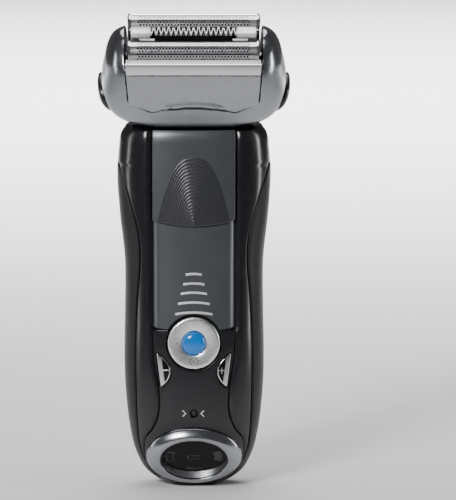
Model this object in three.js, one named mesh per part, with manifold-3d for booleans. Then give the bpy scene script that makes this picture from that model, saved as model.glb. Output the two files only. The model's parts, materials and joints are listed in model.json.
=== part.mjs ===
// Electric foil shaver: a curved handle with a forward-leaning pivoting head, a pull-off foil cassette,
// push buttons and an oval display on the front, and a pop-up long-hair trimmer on the back.
// Millimetres, +Z up along the handle, the front of the shaver faces -Y.
// The origin lies on the flat foot, under the middle of the shaver's plan.
import * as THREE from "three";
import { mergeVertices } from "three/addons/utils/BufferGeometryUtils.js";
import Module from "manifold-3d";

const wasm = await Module();
wasm.setup();

// ---------------------------------------------------------------- driving dimensions
const PLAN_SHIFT = 4.56; // moves the handle's own mid-plane back, so that the plan is centred on the origin
const GAP = 0.3; // clearance between neighbouring pieces

const BODY_TOP = 127.6;
const SIDES = 28; // corners of one cross-section of the handle
const CORNER = 2.5; // superellipse exponent of the handle's cross-section
const WALL = 2.8;
const GRIP_DEPTH = 1.4;
const PANEL_DEPTH = 1.6;
const LEVELS = [0, 1.1, 2.7, 5, 8.5, 13, 19, 27, 40, 55, 70, 84, 97, 110, 119, 124, 126.4, BODY_TOP];

// Half-width, front reach and back reach of the handle, each against height.
const HALF_WIDTH = [
  [0, 9], [2.4, 13.2], [5, 16.6], [8.5, 19], [15, 21.5], [27, 23.5], [42, 24.5],
  [62, 24.3], [80, 24.3], [96, 26], [110, 26.9], [120, 26.3], [124.5, 25.5], [BODY_TOP, 23.4],
];
const FRONT_REACH = [
  [0, 5], [5, 9.5], [12, 13.6], [20, 16.2], [32, 17.2], [55, 17], [75, 15.8], [100, 14.4], [120, 13.4],
  [124.5, 13], [BODY_TOP, 11.8],
];
const BACK_REACH = [
  [0, 9.5], [4, 12], [14, 14.4], [40, 15.6], [75, 14.6], [100, 14.2], [120, 13.4], [BODY_TOP, 11.8],
];

const STRIP_HALF = 14.7; // half-width of the centre strip on the front
const STRIP_BOTTOM = 57;
const STRIP_TOP = 126.2;
const PLATE_TOP = 112; // the front panel ends under the lock slider
const ARC_MIDDLE = 92.9; // the lock slider's curved lower edge
const ARC_ENDS = 94.9;
const SLIDER_DEPTH = 0.9;

const CHIN_TILT = 25; // degrees the display face leans under
const CHIN = new THREE.Vector3(0, -11.2, 11.5);
const RING = { a: 16.7, b: 11.5, lensA: 12.2, lensB: 8.2 };

const BUTTON = { z: 52.2, radius: 9.1, hole: 9.5, lens: 4 };
const RESET = { z: 27.4, radius: 1.1 };
const BARS = [[76, 5.6], [72.6, 7.4], [69.3, 9.1], [65.8, 11], [62.2, 13]]; // height and length of each bar
const BAR_WIDTH = 0.8;

const HEAD_TILT = 30;
const PIVOT = new THREE.Vector3(0, -1, 137.8);
const NECK = { outer: 11.4, wall: 1.4, half: 18.4 };
const HEAD_SIDES = 28;
const FOIL = { pitch: 16.3, radius: 3.9, half: 21.8, centre: 23.1, sheet: 0.35 };
const TOP = FOIL.centre + FOIL.radius; // the shaving plane, above the pivot
// The cassette's place between the head's cheeks.
const MOUTH = { top: 23.8, bottom: 22.4, floor: 3.4, corner: 3.5 };

// ---------------------------------------------------------------- helpers
const radians = THREE.MathUtils.degToRad;

// A smooth curve through [position, value] pairs.
function smooth(points) {
  const slope = points.map((p, i) => {
    const a = points[Math.max(i - 1, 0)];
    const b = points[Math.min(i + 1, points.length - 1)];
    return (b[1] - a[1]) / (b[0] - a[0]);
  });
  return (z) => {
    let i = points.findIndex((p) => p[0] > z) - 1;
    if (i < 0) i = z <= points[0][0] ? 0 : points.length - 2;
    const [z0, v0] = points[i];
    const [z1, v1] = points[i + 1];
    const h = z1 - z0;
    const t = THREE.MathUtils.clamp((z - z0) / h, 0, 1);
    const s = t * t * (3 - 2 * t);
    return v0 + (v1 - v0) * s + h * t * (1 - t) * (slope[i] * (1 - t) - slope[i + 1] * t);
  };
}

function toSolid(geometry) {
  const bare = geometry.clone();
  bare.deleteAttribute("normal");
  bare.deleteAttribute("uv");
  const merged = mergeVertices(bare, 1e-3);
  return new wasm.Manifold(
    new wasm.Mesh({
      numProp: 3,
      vertProperties: new Float32Array(merged.attributes.position.array),
      triVerts: new Uint32Array(merged.index.array),
    }),
  );
}

function toGeometry(solid) {
  const mesh = solid.getMesh();
  const geometry = new THREE.BufferGeometry();
  geometry.setAttribute("position", new THREE.BufferAttribute(mesh.vertProperties, 3));
  geometry.setIndex(new THREE.BufferAttribute(mesh.triVerts, 1));
  geometry.computeVertexNormals();
  return geometry;
}

const join = (...solids) => solids.reduce((a, b) => a.add(b));
const cut = (solid, ...tools) => tools.reduce((a, b) => a.subtract(b), solid);

// A closed solid through rings of equal length, each star-shaped about its own middle.
function loft(rings) {
  const n = rings[0].length;
  const positions = rings.flat(2);
  const index = [];
  for (let r = 0; r + 1 < rings.length; r++) {
    for (let i = 0; i < n; i++) {
      const a = r * n + i;
      const b = r * n + ((i + 1) % n);
      index.push(a, b, b + n, a, b + n, a + n);
    }
  }
  for (const [ring, first, flip] of [[rings[0], 0, true], [rings.at(-1), (rings.length - 1) * n, false]]) {
    const middle = positions.length / 3;
    for (let k = 0; k < 3; k++) positions.push(ring.reduce((sum, p) => sum + p[k], 0) / n);
    for (let i = 0; i < n; i++) {
      const a = first + i;
      const b = first + ((i + 1) % n);
      index.push(...(flip ? [middle, b, a] : [middle, a, b]));
    }
  }
  const geometry = new THREE.BufferGeometry();
  geometry.setAttribute("position", new THREE.Float32BufferAttribute(positions, 3));
  geometry.setIndex(index);
  return toSolid(geometry);
}

function outline(points) {
  return new THREE.Shape(points.map(([a, b]) => new THREE.Vector2(a, b)));
}

const EXTRUDE = { bevelEnabled: false, curveSegments: 12 };

// Prisms of a flat outline: along Y from (x, z) points, along X from (y, z) points, along Z from (x, y) points.
function prismY(shape, y0, y1) {
  const geometry = new THREE.ExtrudeGeometry(shape, { ...EXTRUDE, depth: y1 - y0 });
  return toSolid(geometry.rotateX(Math.PI / 2).translate(0, y1, 0));
}

function prismX(shape, x0, x1) {
  const geometry = new THREE.ExtrudeGeometry(shape, { ...EXTRUDE, depth: x1 - x0 });
  const axes = new THREE.Matrix4().makeBasis(
    new THREE.Vector3(0, 1, 0), new THREE.Vector3(0, 0, 1), new THREE.Vector3(1, 0, 0),
  );
  return toSolid(geometry.applyMatrix4(axes).translate(x0, 0, 0));
}

function prismZ(shape, z0, z1) {
  return toSolid(new THREE.ExtrudeGeometry(shape, { ...EXTRUDE, depth: z1 - z0 }).translate(0, 0, z0));
}

function box(x0, x1, y0, y1, z0, z1) {
  const geometry = new THREE.BoxGeometry(x1 - x0, y1 - y0, z1 - z0);
  return toSolid(geometry.translate((x0 + x1) / 2, (y0 + y1) / 2, (z0 + z1) / 2));
}

function rod(axis, radius, from, to, [a, b] = [0, 0], sides = 16) {
  const points = [];
  for (let i = 0; i < sides; i++) {
    const t = (2 * Math.PI * i) / sides;
    points.push([a + radius * Math.cos(t), b + radius * Math.sin(t)]);
  }
  return { x: prismX, y: prismY, z: prismZ }[axis](outline(points), from, to);
}

function ellipse(a, b, sides = 32) {
  const points = [];
  for (let i = 0; i < sides; i++) {
    const t = (2 * Math.PI * i) / sides;
    points.push([a * Math.cos(t), b * Math.sin(t)]);
  }
  return points;
}

const mirrored = (solid) => solid.mirror([1, 0, 0]);

function superellipse(halfX, front, back, exponent, sides) {
  const points = [];
  for (let i = 0; i < sides; i++) {
    const t = (2 * Math.PI * i) / sides;
    const c = Math.cos(t);
    const s = Math.sin(t);
    const reach = s < 0 ? front : back;
    points.push([
      halfX * Math.sign(c) * Math.abs(c) ** (2 / exponent),
      reach * Math.sign(s) * Math.abs(s) ** (2 / exponent),
    ]);
  }
  return points;
}

// ---------------------------------------------------------------- materials
const finish = (color, roughness, metalness = 0) =>
  new THREE.MeshStandardMaterial({ color, roughness, metalness });
const MATERIAL = {
  gloss: finish(0x1b1c20, 0.16),
  rubber: finish(0x2a2b2f, 0.62),
  panel: finish(0x33363c, 0.3),
  black: finish(0x0c0c0e, 0.45),
  chrome: finish(0xb9bcc2, 0.14, 1),
  satin: finish(0x9a9da4, 0.28, 1),
  steel: finish(0xc4c7ca, 0.3, 1),
  lens: finish(0x0a0c10, 0.05),
  blue: finish(0x2f86d6, 0.12),
  copper: finish(0xb0703a, 0.4, 1),
  brass: finish(0xc9a250, 0.3, 1),
  board: finish(0x1d5a34, 0.5),
  cell: finish(0x3a64a0, 0.4),
};

const shaver = new THREE.Group();
const handle = new THREE.Group();
const head = new THREE.Group();
shaver.add(handle, head);
handle.position.y = PLAN_SHIFT;
head.position.copy(PIVOT).add(new THREE.Vector3(0, PLAN_SHIFT, 0));
head.rotation.x = radians(HEAD_TILT);

function add(group, name, material, solid) {
  const mesh = new THREE.Mesh(toGeometry(solid), MATERIAL[material]);
  mesh.name = name;
  group.add(mesh);
}

// ---------------------------------------------------------------- the handle's form
const halfWidth = smooth(HALF_WIDTH);
const frontReach = smooth(FRONT_REACH);
const backReach = smooth(BACK_REACH);

// Everything behind the display face, sunk by a depth below it.
function behindChin(depth) {
  const block = new THREE.BoxGeometry(80, 200, 400);
  block.translate(0, 100, 0).rotateX(radians(CHIN_TILT));
  const inward = new THREE.Vector3(0, Math.cos(radians(CHIN_TILT)), Math.sin(radians(CHIN_TILT)));
  block.translate(...CHIN.clone().addScaledVector(inward, depth).toArray());
  return toSolid(block);
}

// The handle's outer form, sunk by an inset, between two heights.
function form(inset, low = 0, high = BODY_TOP) {
  const levels = [low, ...LEVELS.filter((z) => z > low + 0.4 && z < high - 0.4), high];
  const rings = levels.map((z) =>
    superellipse(halfWidth(z) - inset, frontReach(z) - inset, backReach(z) - inset, CORNER, SIDES).map(
      ([x, y]) => [x, y, z],
    ),
  );
  return loft(rings).intersect(behindChin(inset + 0.5));
}

const skin = form(0);
const proud = form(-1.2);
const sunk = {
  grip: form(GRIP_DEPTH),
  panel: form(PANEL_DEPTH),
  panelBack: form(PANEL_DEPTH - GAP),
  panelFace: form(SLIDER_DEPTH),
  sliderBack: form(SLIDER_DEPTH - GAP),
  sliderFace: form(-0.3),
};
const hollow = form(WALL, 5, 120.5);

// ---------------------------------------------------------------- outlines on the front, as (x, z) points
// The side grips' inner edge, from the top of the grip to the foot.
const GRIP_EDGE = [
  [27.5, 118], [25.2, 109], [23.2, 102.6], [21.2, 96], [19.6, 89], [19.1, 81], [20.2, 66], [20.8, 50],
  [20.6, 34], [20.2, 24], [19.2, 15], [16.5, 8], [13, 3.5], [11.5, 1.6],
];

function gripOutline(grow) {
  const inner = GRIP_EDGE.map(([x, z]) => [x - grow, z + (z > 117 ? grow : 0)]);
  return outline([...inner, [11.5 - grow, -5], [40, -5], [40, 118 + grow]]);
}

function stripOutline(grow, top) {
  const half = STRIP_HALF + grow;
  return outline([[-half, STRIP_BOTTOM - grow], [half, STRIP_BOTTOM - grow], [half, top], [-half, top]]);
}

// The lower control panel: waisted, then flaring to the display ring.
const CONTROL_EDGE = [
  [14.2, 56.6], [13.8, 47], [12.3, 38], [11.8, 31], [12.4, 26], [14.2, 21.5], [17, 17.5],
];

function controlOutline(grow) {
  const right = CONTROL_EDGE.map(([x, z], i) => [x + grow, i ? z : z + grow]);
  const left = right.map(([x, z]) => [-x, z]).reverse();
  return outline([...right, [17 + grow, 5], [-17 - grow, 5], ...left]);
}

function sliderOutline() {
  const half = STRIP_HALF - GAP;
  const steps = 8;
  const arc = [];
  for (let i = 0; i <= steps; i++) {
    const x = -half + (2 * half * i) / steps;
    arc.push([x, ARC_MIDDLE + (ARC_ENDS - ARC_MIDDLE) * (x / half) ** 2]);
  }
  return outline([...arc, [half, STRIP_TOP], [-half, STRIP_TOP]]);
}

// A plus or minus key: straight outer side along the panel's edge, bowed inner side.
const KEY = { low: 36.9, high: 48.5, lowX: 11.6, highX: 13.1, bow: 3.7 };

function keyOutline(grow) {
  const steps = 8;
  const bow = [];
  for (let i = 0; i <= steps; i++) {
    const t = i / steps;
    const edge = KEY.lowX + (KEY.highX - KEY.lowX) * t;
    const height = KEY.low - grow + (KEY.high - KEY.low + 2 * grow) * t;
    bow.push([edge - 0.5 - grow - KEY.bow * (1 - (2 * t - 1) ** 2), height]);
  }
  return outline([...bow.reverse(), [KEY.lowX + grow, KEY.low - grow], [KEY.highX + grow, KEY.high + grow]]);
}

const buttonHole = rod("y", BUTTON.hole, -30, -8, [0, BUTTON.z], 32);
const keyHole = prismY(keyOutline(GAP), -30, -8);
const resetHole = rod("y", RESET.radius + GAP, -30, -8, [0, RESET.z], 12);
const ahead = box(-40, 40, -40, -0.15, -5, 130);
const behind = box(-40, 40, 0.15, 40, -5, 130);

// ---------------------------------------------------------------- display on the chin
// Places a solid built about +Z, with its front towards +Z, on the display face.
function onChin(solid) {
  return solid.rotate([90 + CHIN_TILT, 0, 0]).translate(CHIN.toArray());
}

function ringBody(a, b, low, high, shrink) {
  const rings = [
    ellipse(a, b).map(([x, y]) => [x, y, low]),
    ellipse(a, b).map(([x, y]) => [x, y, high - shrink]),
    ellipse(a - shrink, b - shrink).map(([x, y]) => [x, y, high]),
  ];
  return loft(rings);
}

const lensPocket = ringBody(RING.lensA + 0.25, RING.lensB + 0.25, -3, 3, 0);
const displayRing = cut(ringBody(RING.a, RING.b, -1.6, 2.6, 2.2), lensPocket);
const displayLens = ringBody(RING.lensA, RING.lensB, -1.3, 0.3, 0.3);
const displayBoard = ringBody(RING.lensA - 0.6, RING.lensB - 0.6, -3, -1.7, 0);
const displayPocket = onChin(ringBody(RING.a + GAP, RING.b + GAP, -2, 9, 0));
const displayWindow = onChin(ringBody(RING.lensA, RING.lensB, -8, 0, 0));

add(handle, "display_ring", "chrome", onChin(displayRing).intersect(box(-30, 30, -40, 40, 0.4, 40)));
add(handle, "display_lens", "lens", onChin(displayLens));
add(handle, "display_board", "board", onChin(displayBoard));

// ---------------------------------------------------------------- socket in the foot
const SOCKET = { y: 2, halfX: 4.3, halfY: 2.9, depth: 11, wall: 1 };

function roundedBox(halfX, halfY, corner) {
  const shape = new THREE.Shape();
  shape.absarc(halfX - corner, halfY - corner, corner, 0, Math.PI / 2);
  shape.absarc(corner - halfX, halfY - corner, corner, Math.PI / 2, Math.PI);
  shape.absarc(corner - halfX, corner - halfY, corner, Math.PI, 1.5 * Math.PI);
  shape.absarc(halfX - corner, corner - halfY, corner, 1.5 * Math.PI, 2 * Math.PI);
  return outline(shape.extractPoints(3).shape.map((p) => [p.x, p.y]));
}

function socketBlock(grow, low, high) {
  const shape = roundedBox(SOCKET.halfX + grow, SOCKET.halfY + grow, 2);
  return prismZ(shape, low, high).translate([0, SOCKET.y, 0]);
}

const socketHole = socketBlock(SOCKET.wall + GAP, -2, 12);
add(
  handle, "power_socket", "black",
  cut(socketBlock(SOCKET.wall, 0.3, SOCKET.depth + 1.5), socketBlock(0, -1, SOCKET.depth)),
);
for (const [name, side] of [["socket_pin_left", -1], ["socket_pin_right", 1]]) {
  const pin = rod("z", 0.8, 5, SOCKET.depth - 0.3, [side * 2, SOCKET.y], 10);
  add(handle, name, "brass", pin);
}

// ---------------------------------------------------------------- housings and grips
const gripPocket = prismY(gripOutline(GAP), -40, 40);
const gripPockets = join(gripPocket, mirrored(gripPocket)).intersect(cut(proud, sunk.grip));
const controlPocket = prismY(controlOutline(GAP), -40, -6).intersect(cut(proud, sunk.panel));
const stripPocket = prismY(stripOutline(GAP, 140), -40, -6).intersect(cut(proud, sunk.panel));
const neckHole = box(-15.3, 15.3, -4.9, 6.3, 115, 130);
// A notch along the handle's top front edge, where the head's lower edge swings, and room for the neck's drum.
const swing = prismX(
  outline([
    [-16, 140], [-16, 129.4], [-13.6, 127.4], [-12.1, 126.3], [-10.5, 125.7], [-8.8, 125.5], [-6.8, 126.9],
    [-5.8, 127.5], [-5, 128.4], [-5, 140],
  ]),
  -40, 40,
);
const drumRoom = rod("x", 11.8, -18.8, 18.8, [PIVOT.y, PIVOT.z], 64);

const shell = cut(skin, hollow, gripPockets, neckHole, drumRoom, swing, socketHole);
add(
  handle, "front_housing", "gloss",
  cut(shell.intersect(ahead), controlPocket, stripPocket, buttonHole, keyHole, mirrored(keyHole), resetHole,
    displayPocket, displayWindow),
);

// The long-hair trimmer's bay in the back.
const BAY = { half: 13, low: 84, high: 130, floor: 9.6, wall: 1.6 };
const bay = box(-BAY.half, BAY.half, BAY.floor, 40, BAY.low, BAY.high);
const SCREWS = [[-8, 30], [8, 30]];
const screwHole = (x, z) => join(rod("y", 2.3, 12.2, 40, [x, z], 12), rod("y", 1.3, 5, 12.3, [x, z], 8));
const CONTACTS = [["charge_contact_left", -1], ["charge_contact_right", 1]];
const contactHole = (side) => rod("y", 1.8, 10, 40, [side * 5.5, 14], 12);
const back = cut(
  shell.intersect(behind), bay, contactHole(-1), contactHole(1), ...SCREWS.map(([x, z]) => screwHole(x, z)),
);
// The bay's floor and walls close the housing behind the trimmer.
const bayBlock = box(
  -BAY.half - BAY.wall, BAY.half + BAY.wall, BAY.floor - BAY.wall, 12, BAY.low - BAY.wall, 120,
);
const bayLiner = cut(bayBlock.intersect(skin), bay);
add(handle, "back_housing", "gloss", join(back, bayLiner));

const grip = cut(prismY(gripOutline(0), -40, 40).intersect(cut(skin, form(GRIP_DEPTH - GAP))), displayPocket);
add(handle, "right_grip", "rubber", grip.intersect(box(0, 40, -40, 40, 0.6, 130)));
add(handle, "left_grip", "rubber", mirrored(grip).intersect(box(-40, 0, -40, 40, 0.6, 130)));

SCREWS.forEach(([x, z], i) => {
  const top = rod("y", 1.9, 12.5, 14.2, [x, z], 12);
  const shank = rod("y", 1, 4, 12.6, [x, z], 8);
  const slot = box(x - 0.3, x + 0.3, 13.5, 20, z - 2, z + 2);
  add(handle, `housing_screw_${i + 1}`, "steel", cut(join(top, shank), slot));
});
for (const [name, side] of CONTACTS) {
  add(handle, name, "brass", rod("y", 1.4, 10, backReach(14) - 0.8, [side * 5.5, 14], 12));
}

// ---------------------------------------------------------------- front strip, lock slider and control panel
const barSlot = (z, length, grow, y0, y1) => {
  const half = length / 2 + grow;
  const steps = 6;
  const rise = 0.05 * length;
  const upper = [];
  const lower = [];
  for (let i = 0; i <= steps; i++) {
    const x = -half + (2 * half * i) / steps;
    const arc = z + rise * (1 - (x / half) ** 2);
    upper.unshift([x, arc + BAR_WIDTH / 2 + grow]);
    lower.push([x, arc - BAR_WIDTH / 2 - grow]);
  }
  return prismY(outline([...lower, ...upper]), y0, y1);
};
const stripPlate = prismY(stripOutline(-GAP, PLATE_TOP), -40, -6)
  .intersect(cut(sunk.panelFace, sunk.panelBack));
const barPockets = BARS.map(([z, length]) => barSlot(z, length, 0.1, -40, -frontReach(z) + 1.15));
add(handle, "front_panel", "panel", cut(stripPlate, buttonHole, ...barPockets));
const barFace = form(SLIDER_DEPTH - 0.25, 50, 90);
BARS.forEach(([z, length], i) => {
  const bar = barSlot(z, length, 0, -40, -frontReach(z) + 1.1);
  add(handle, `accent_bar_${i + 1}`, "chrome", bar.intersect(barFace));
});

add(
  handle, "lock_slider", "panel",
  prismY(sliderOutline(), -40, -6).intersect(cut(sunk.sliderFace, sunk.sliderBack)),
);

const controlPlate = prismY(controlOutline(0), -40, -6).intersect(cut(skin, sunk.panelBack));
add(
  handle, "control_panel", "gloss",
  cut(
    controlPlate, buttonHole, keyHole, mirrored(keyHole), resetHole, displayPocket,
    gripPocket, mirrored(gripPocket),
  ),
);

// ---------------------------------------------------------------- buttons
const buttonFront = -frontReach(BUTTON.z) - 0.6;
const buttonBody = join(
  rod("y", BUTTON.radius, buttonFront, buttonFront + 3, [0, BUTTON.z], 32),
  rod("y", 3, buttonFront + 2.9, buttonFront + 6.3, [0, BUTTON.z], 12),
);
const lensHole = rod("y", BUTTON.lens + 0.2, -30, buttonFront + 1.5, [0, BUTTON.z], 20);
const buttonLens = rod("y", BUTTON.lens, buttonFront - 0.3, buttonFront + 1.2, [0, BUTTON.z], 20);
add(handle, "power_button", "satin", cut(buttonBody, lensHole));
add(handle, "power_lens", "blue", buttonLens);
const key = prismY(keyOutline(0), -40, -10.5).intersect(cut(form(-0.3, 30, 60), form(2.6, 30, 60)));
add(handle, "plus_button", "satin", key);
add(handle, "minus_button", "satin", mirrored(key));
add(
  handle, "reset_button", "black",
  rod("y", RESET.radius, -frontReach(RESET.z) + 0.8, -frontReach(RESET.z) + 3.6, [0, RESET.z], 12),
);

// ---------------------------------------------------------------- inside the handle
add(handle, "power_switch", "black", box(-3, 3, -10.1, -8.6, BUTTON.z - 3, BUTTON.z + 3));
const CELL = { radius: 7.1, low: 26, high: 76, y: 3.4 };
add(handle, "battery", "cell", rod("z", CELL.radius, CELL.low, CELL.high, [0, CELL.y], 20));
add(handle, "main_board", "board", box(-11, 11, -8.3, -7, 22, 100));
const cradle = cut(
  box(-12, 12, -6.6, 3, 20, 112),
  rod("z", CELL.radius + GAP, CELL.low - GAP, CELL.high + GAP, [0, CELL.y], 20),
  box(-9, 9, -3, 10, 80, 108),
  ...SCREWS.map(([x, z]) => rod("y", 1.3, 2.5, 12, [x, z], 8)),
);
add(handle, "chassis", "black", cradle);

// ---------------------------------------------------------------- neck
// A drum about the pivot, open on the head's side, on a stem that stands in the handle.
const drum = (radius, half) => rod("x", radius, -half, half, [0, 0], 32);
const belowHead = box(-30, 30, -30, 30, -30, -0.2).rotate([HEAD_TILT, 0, 0]);
const neckTub = cut(
  drum(NECK.outer, NECK.half).intersect(belowHead), drum(NECK.outer - NECK.wall, NECK.half - 2),
).translate(PIVOT.toArray());
const ears = [-1, 1].map((side) => {
  const plate = join(
    rod("x", 4, 0, 2, [0, 0], 16).translate(PIVOT.toArray()),
    box(0, 2, PIVOT.y - 4, PIVOT.y + 4, PIVOT.z - 6, PIVOT.z),
  );
  return plate.translate([side > 0 ? NECK.half - 2 : -NECK.half, 0, 0]);
});
const pinHole = rod("x", 1.6, -40, 40, [PIVOT.y, PIVOT.z], 16);
const stem = box(-15, 15, -4.6, 6, 112.5, PIVOT.z - NECK.outer + 1);
add(handle, "neck_yoke", "black", cut(join(neckTub, ...ears, stem), pinHole));

// ---------------------------------------------------------------- long-hair trimmer
const TRIM = { half: 12.5, low: 88, high: 118, y0: 10.1, y1: 13.2 };
const thumbRibs = [94, 96.5, 99, 101.5].map((z) => box(-6, 6, 13, 14.3, z, z + 1));
add(
  handle, "trimmer_slide", "gloss",
  cut(
    join(box(-TRIM.half, TRIM.half, TRIM.y0, TRIM.y1, TRIM.low, TRIM.high), ...thumbRibs),
    box(-11.2, 11.2, TRIM.y0 - 1, 12.2, 108, 130),
  ),
);

function toothed(half, teeth, low, root, tip, y0, y1) {
  const points = [[-half, low], [half, low], [half, root]];
  const pitch = (2 * half) / teeth;
  for (let i = 0; i < teeth; i++) {
    const x = half - i * pitch;
    points.push([x - 0.1 * pitch, tip], [x - 0.45 * pitch, tip], [x - 0.5 * pitch, root], [x - pitch, root]);
  }
  return prismY(outline(points), y0, y1);
}

add(handle, "trimmer_comb", "steel", toothed(10.8, 14, 108.5, 117.6, 120.6, 11.5, 11.9));
add(handle, "trimmer_blade", "steel", toothed(9.6, 14, 109.5, 117.2, 119.8, 10.7, 11.2));

// ---------------------------------------------------------------- head: shell and cassette
// Half-width, front depth and back depth of the head, each against height above the pivot.
const HEAD_WIDTH = smooth([
  [-5.6, 24], [-3.2, 28.2], [-0.6, 30.5], [2, 31.6], [6, 32.2], [9, 32.1], [14, 31.2], [19.3, 30], [24, 27.8],
  [25.6, 25.8],
]);
const HEAD_FRONT = smooth([
  [-5.6, 12.8], [-4.6, 14.2], [-3.2, 15.2], [-1.5, 15.7], [0.5, 16.05], [3.4, 16.5], [11, 17], [18, 16.2],
  [22, 13.2], [24.4, 9], [25.6, 5],
]);
const HEAD_BACK = smooth([
  [-5.6, 12.4], [-1.5, 14.8], [4, 16.5], [11, 17], [18, 16.2], [22, 13.2], [24.4, 9], [25.6, 5],
]);
const headSection = (z, grow) =>
  superellipse(HEAD_WIDTH(z) + grow, HEAD_FRONT(z) + grow, HEAD_BACK(z) + grow, 3.2, HEAD_SIDES).map(
    ([x, y]) => [x, y, z],
  );
const HEAD_LEVELS = [-5.6, -4.6, -3.2, -1.2, 1.6, 4, 8, 13, 18, 21.5, 23.6, 25, 25.6];
const headForm = loft(HEAD_LEVELS.map((z) => headSection(z, 0)));

function mouthOutline(grow) {
  const slope = (MOUTH.top - MOUTH.bottom) / 21;
  const edge = (z) => MOUTH.bottom + slope * (z - MOUTH.floor) + grow;
  const low = MOUTH.floor - grow;
  const corner = low + MOUTH.corner;
  return outline([
    [-edge(corner), corner], [-14.5, low], [14.5, low], [edge(corner), corner], [edge(32), 32], [-edge(32), 32],
  ]);
}

// The mouth's floor and the panels' lower edges rise in one arch.
const ARCH = { radius: 57, rise: 2.2 };
const arch = (grow) => rod("y", ARCH.radius + grow, -40, 40, [0, MOUTH.floor + ARCH.rise - ARCH.radius], 96);
const mouth = cut(prismY(mouthOutline(0), -40, 40), arch(-GAP));

// The oval release buttons in the head's sides.
const RELEASE = { y: 0, z: 1.2, a: 8.2, b: 6.2 };
const releaseOval = (grow, x0, x1) =>
  prismX(outline(ellipse(RELEASE.a + grow, RELEASE.b + grow, 24)), x0, x1).translate([0, RELEASE.y, RELEASE.z]);
const releaseHole = releaseOval(GAP, 25.3, 40);
add(
  head, "head_shell", "chrome",
  cut(
    headForm,
    mouth,
    box(-21, 21, -12.6, 12.6, -10, 12),
    rod("x", NECK.outer + 0.6, -19.2, 19.2, [0, 0], 32),
    releaseHole, mirrored(releaseHole),
  ),
);

const releaseForm = loft([-7, -4.6, -3.2, -1.2, 1.6, 4, 8, 13].map((z) => headSection(z, 1.2)));
const release = releaseOval(0, 26.8, 40).intersect(releaseForm);
add(head, "release_button_right", "satin", release);
add(head, "release_button_left", "satin", mirrored(release));

// The tray closes the head under the cassette, and its legs hang the motor on the pivot pins.
const DRIVE = { y: FOIL.pitch / 2, radius: 1.1, top: 17.6 };
const drivePinAt = (side, radius, low, high) => rod("z", radius, low, high, [0, side * DRIVE.y], 12);
const trayLeg = box(14.6, 15.9, -6, 6, -5.6, 9.2);
const tray = cut(
  join(box(-20.6, 20.6, -12.3, 12.3, 8.9, 10.2), trayLeg, mirrored(trayLeg)),
  box(-4.5, 4.5, -10.5, -5.8, 5, 12), box(-4.5, 4.5, 5.8, 10.5, 5, 12),
  rod("x", 1.6, -40, 40, [0, 0], 16),
);
add(head, "head_tray", "black", tray);
for (const [name, x0, x1] of [["pivot_pin_left", -18.2, -14.7], ["pivot_pin_right", 14.7, 18.2]]) {
  add(head, name, "steel", rod("x", 1.25, x0, x1, [0, 0], 12));
}

// Linear motor: a laminated core with its coil, and a magnet carrier that slides above it.
add(head, "motor_core", "steel", cut(
  box(-14, 14, -6, 6, -6, 3), box(-9.5, -3.5, -7, 7, -3, 4), box(3.5, 9.5, -7, 7, -3, 4),
));
add(head, "motor_coil", "copper", cut(box(-9.2, 9.2, -7.2, 7.2, -2.7, 2.6), box(-3.8, 3.8, -6.3, 6.3, -4, 4)));
const arm = box(-2.2, 2.2, -DRIVE.y - 1.8, DRIVE.y + 1.8, 4.2, 7.6);
add(head, "motor_armature", "steel", join(box(-11.5, 11.5, -5.4, 5.4, 3.6, 7.2), arm));
for (const [name, side] of [["drive_pin_front", -1], ["drive_pin_back", 1]]) {
  add(head, name, "steel", drivePinAt(side, DRIVE.radius, 7.9, DRIVE.top));
}

// Cassette: an open frame between two outer panels.
const cassetteFrame = cut(
  join(
    box(-22.2, 22.2, -13.4, 13.4, 10.8, 15.2),
    box(-22.2, 22.2, -13.4, -12.8, 15.1, 20.6),
    box(-22.2, 22.2, 12.8, 13.4, 15.1, 20.6),
    box(21.9, 22.9, -3.2, 3.2, 15.1, 21.8),
    box(-22.9, -21.9, -3.2, 3.2, 15.1, 21.8),
    box(-22.9, 22.9, -3.2, 3.2, 13.6, 15.2),
  ),
  box(-20.9, 20.9, -12.2, -3.4, 12.2, 30),
  box(-20.9, 20.9, 3.4, 12.2, 12.2, 30),
  box(-20.9, 20.9, -2.6, 2.6, 12.2, 30),
  box(-5, 5, -11, -5.3, 9, 14),
  box(-5, 5, 5.3, 11, 9, 14),
);
add(head, "cassette_frame", "black", cassetteFrame);

const PANEL_FACE = [
  [13.7, 22.4], [14.2, 22.6], [15.6, 20.4], [16.6, 18.6], [17, 11.5], [16.5, 2.5],
  [15.2, 2.5], [15.2, 17.6], [13.7, 18.6],
];
const panelSection = outline(PANEL_FACE.map(([y, z]) => [-y, z]).reverse());
const frontPanel = cut(
  prismX(panelSection, -23.6, 23.6).intersect(prismY(mouthOutline(-GAP), -40, 40)), arch(0),
);
add(head, "cassette_front_panel", "satin", frontPanel);
add(head, "cassette_back_panel", "satin", frontPanel.mirror([0, 1, 0]));

// One foil arched over its cutter.
function foilSheet() {
  const steps = 12;
  const spread = radians(96);
  const point = (radius, i) => {
    const t = -spread + (2 * spread * i) / steps;
    return [radius * Math.sin(t), radius * Math.cos(t)];
  };
  const outer = [];
  const inner = [];
  for (let i = 0; i <= steps; i++) {
    outer.push(point(FOIL.radius, i));
    inner.unshift(point(FOIL.radius - FOIL.sheet, i));
  }
  return prismX(outline([...outer, ...inner]), -FOIL.half, FOIL.half);
}

// The foil's holder: two arched end plates on a rail each side.
function foilHolder() {
  const end = (x0) => join(
    rod("x", FOIL.radius + 0.45, x0, x0 + 0.8, [0, 0], 24),
    box(x0, x0 + 0.8, -FOIL.radius - 0.45, FOIL.radius + 0.45, -6, 0),
  );
  const rail = (y0) => box(-22.5, 22.5, y0, y0 + 0.6, -6, -3.6);
  return cut(join(end(-22.9), end(22.1), rail(-4.35), rail(3.75)), box(-30, 30, -3, 3, -10, -3.2));
}

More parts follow.
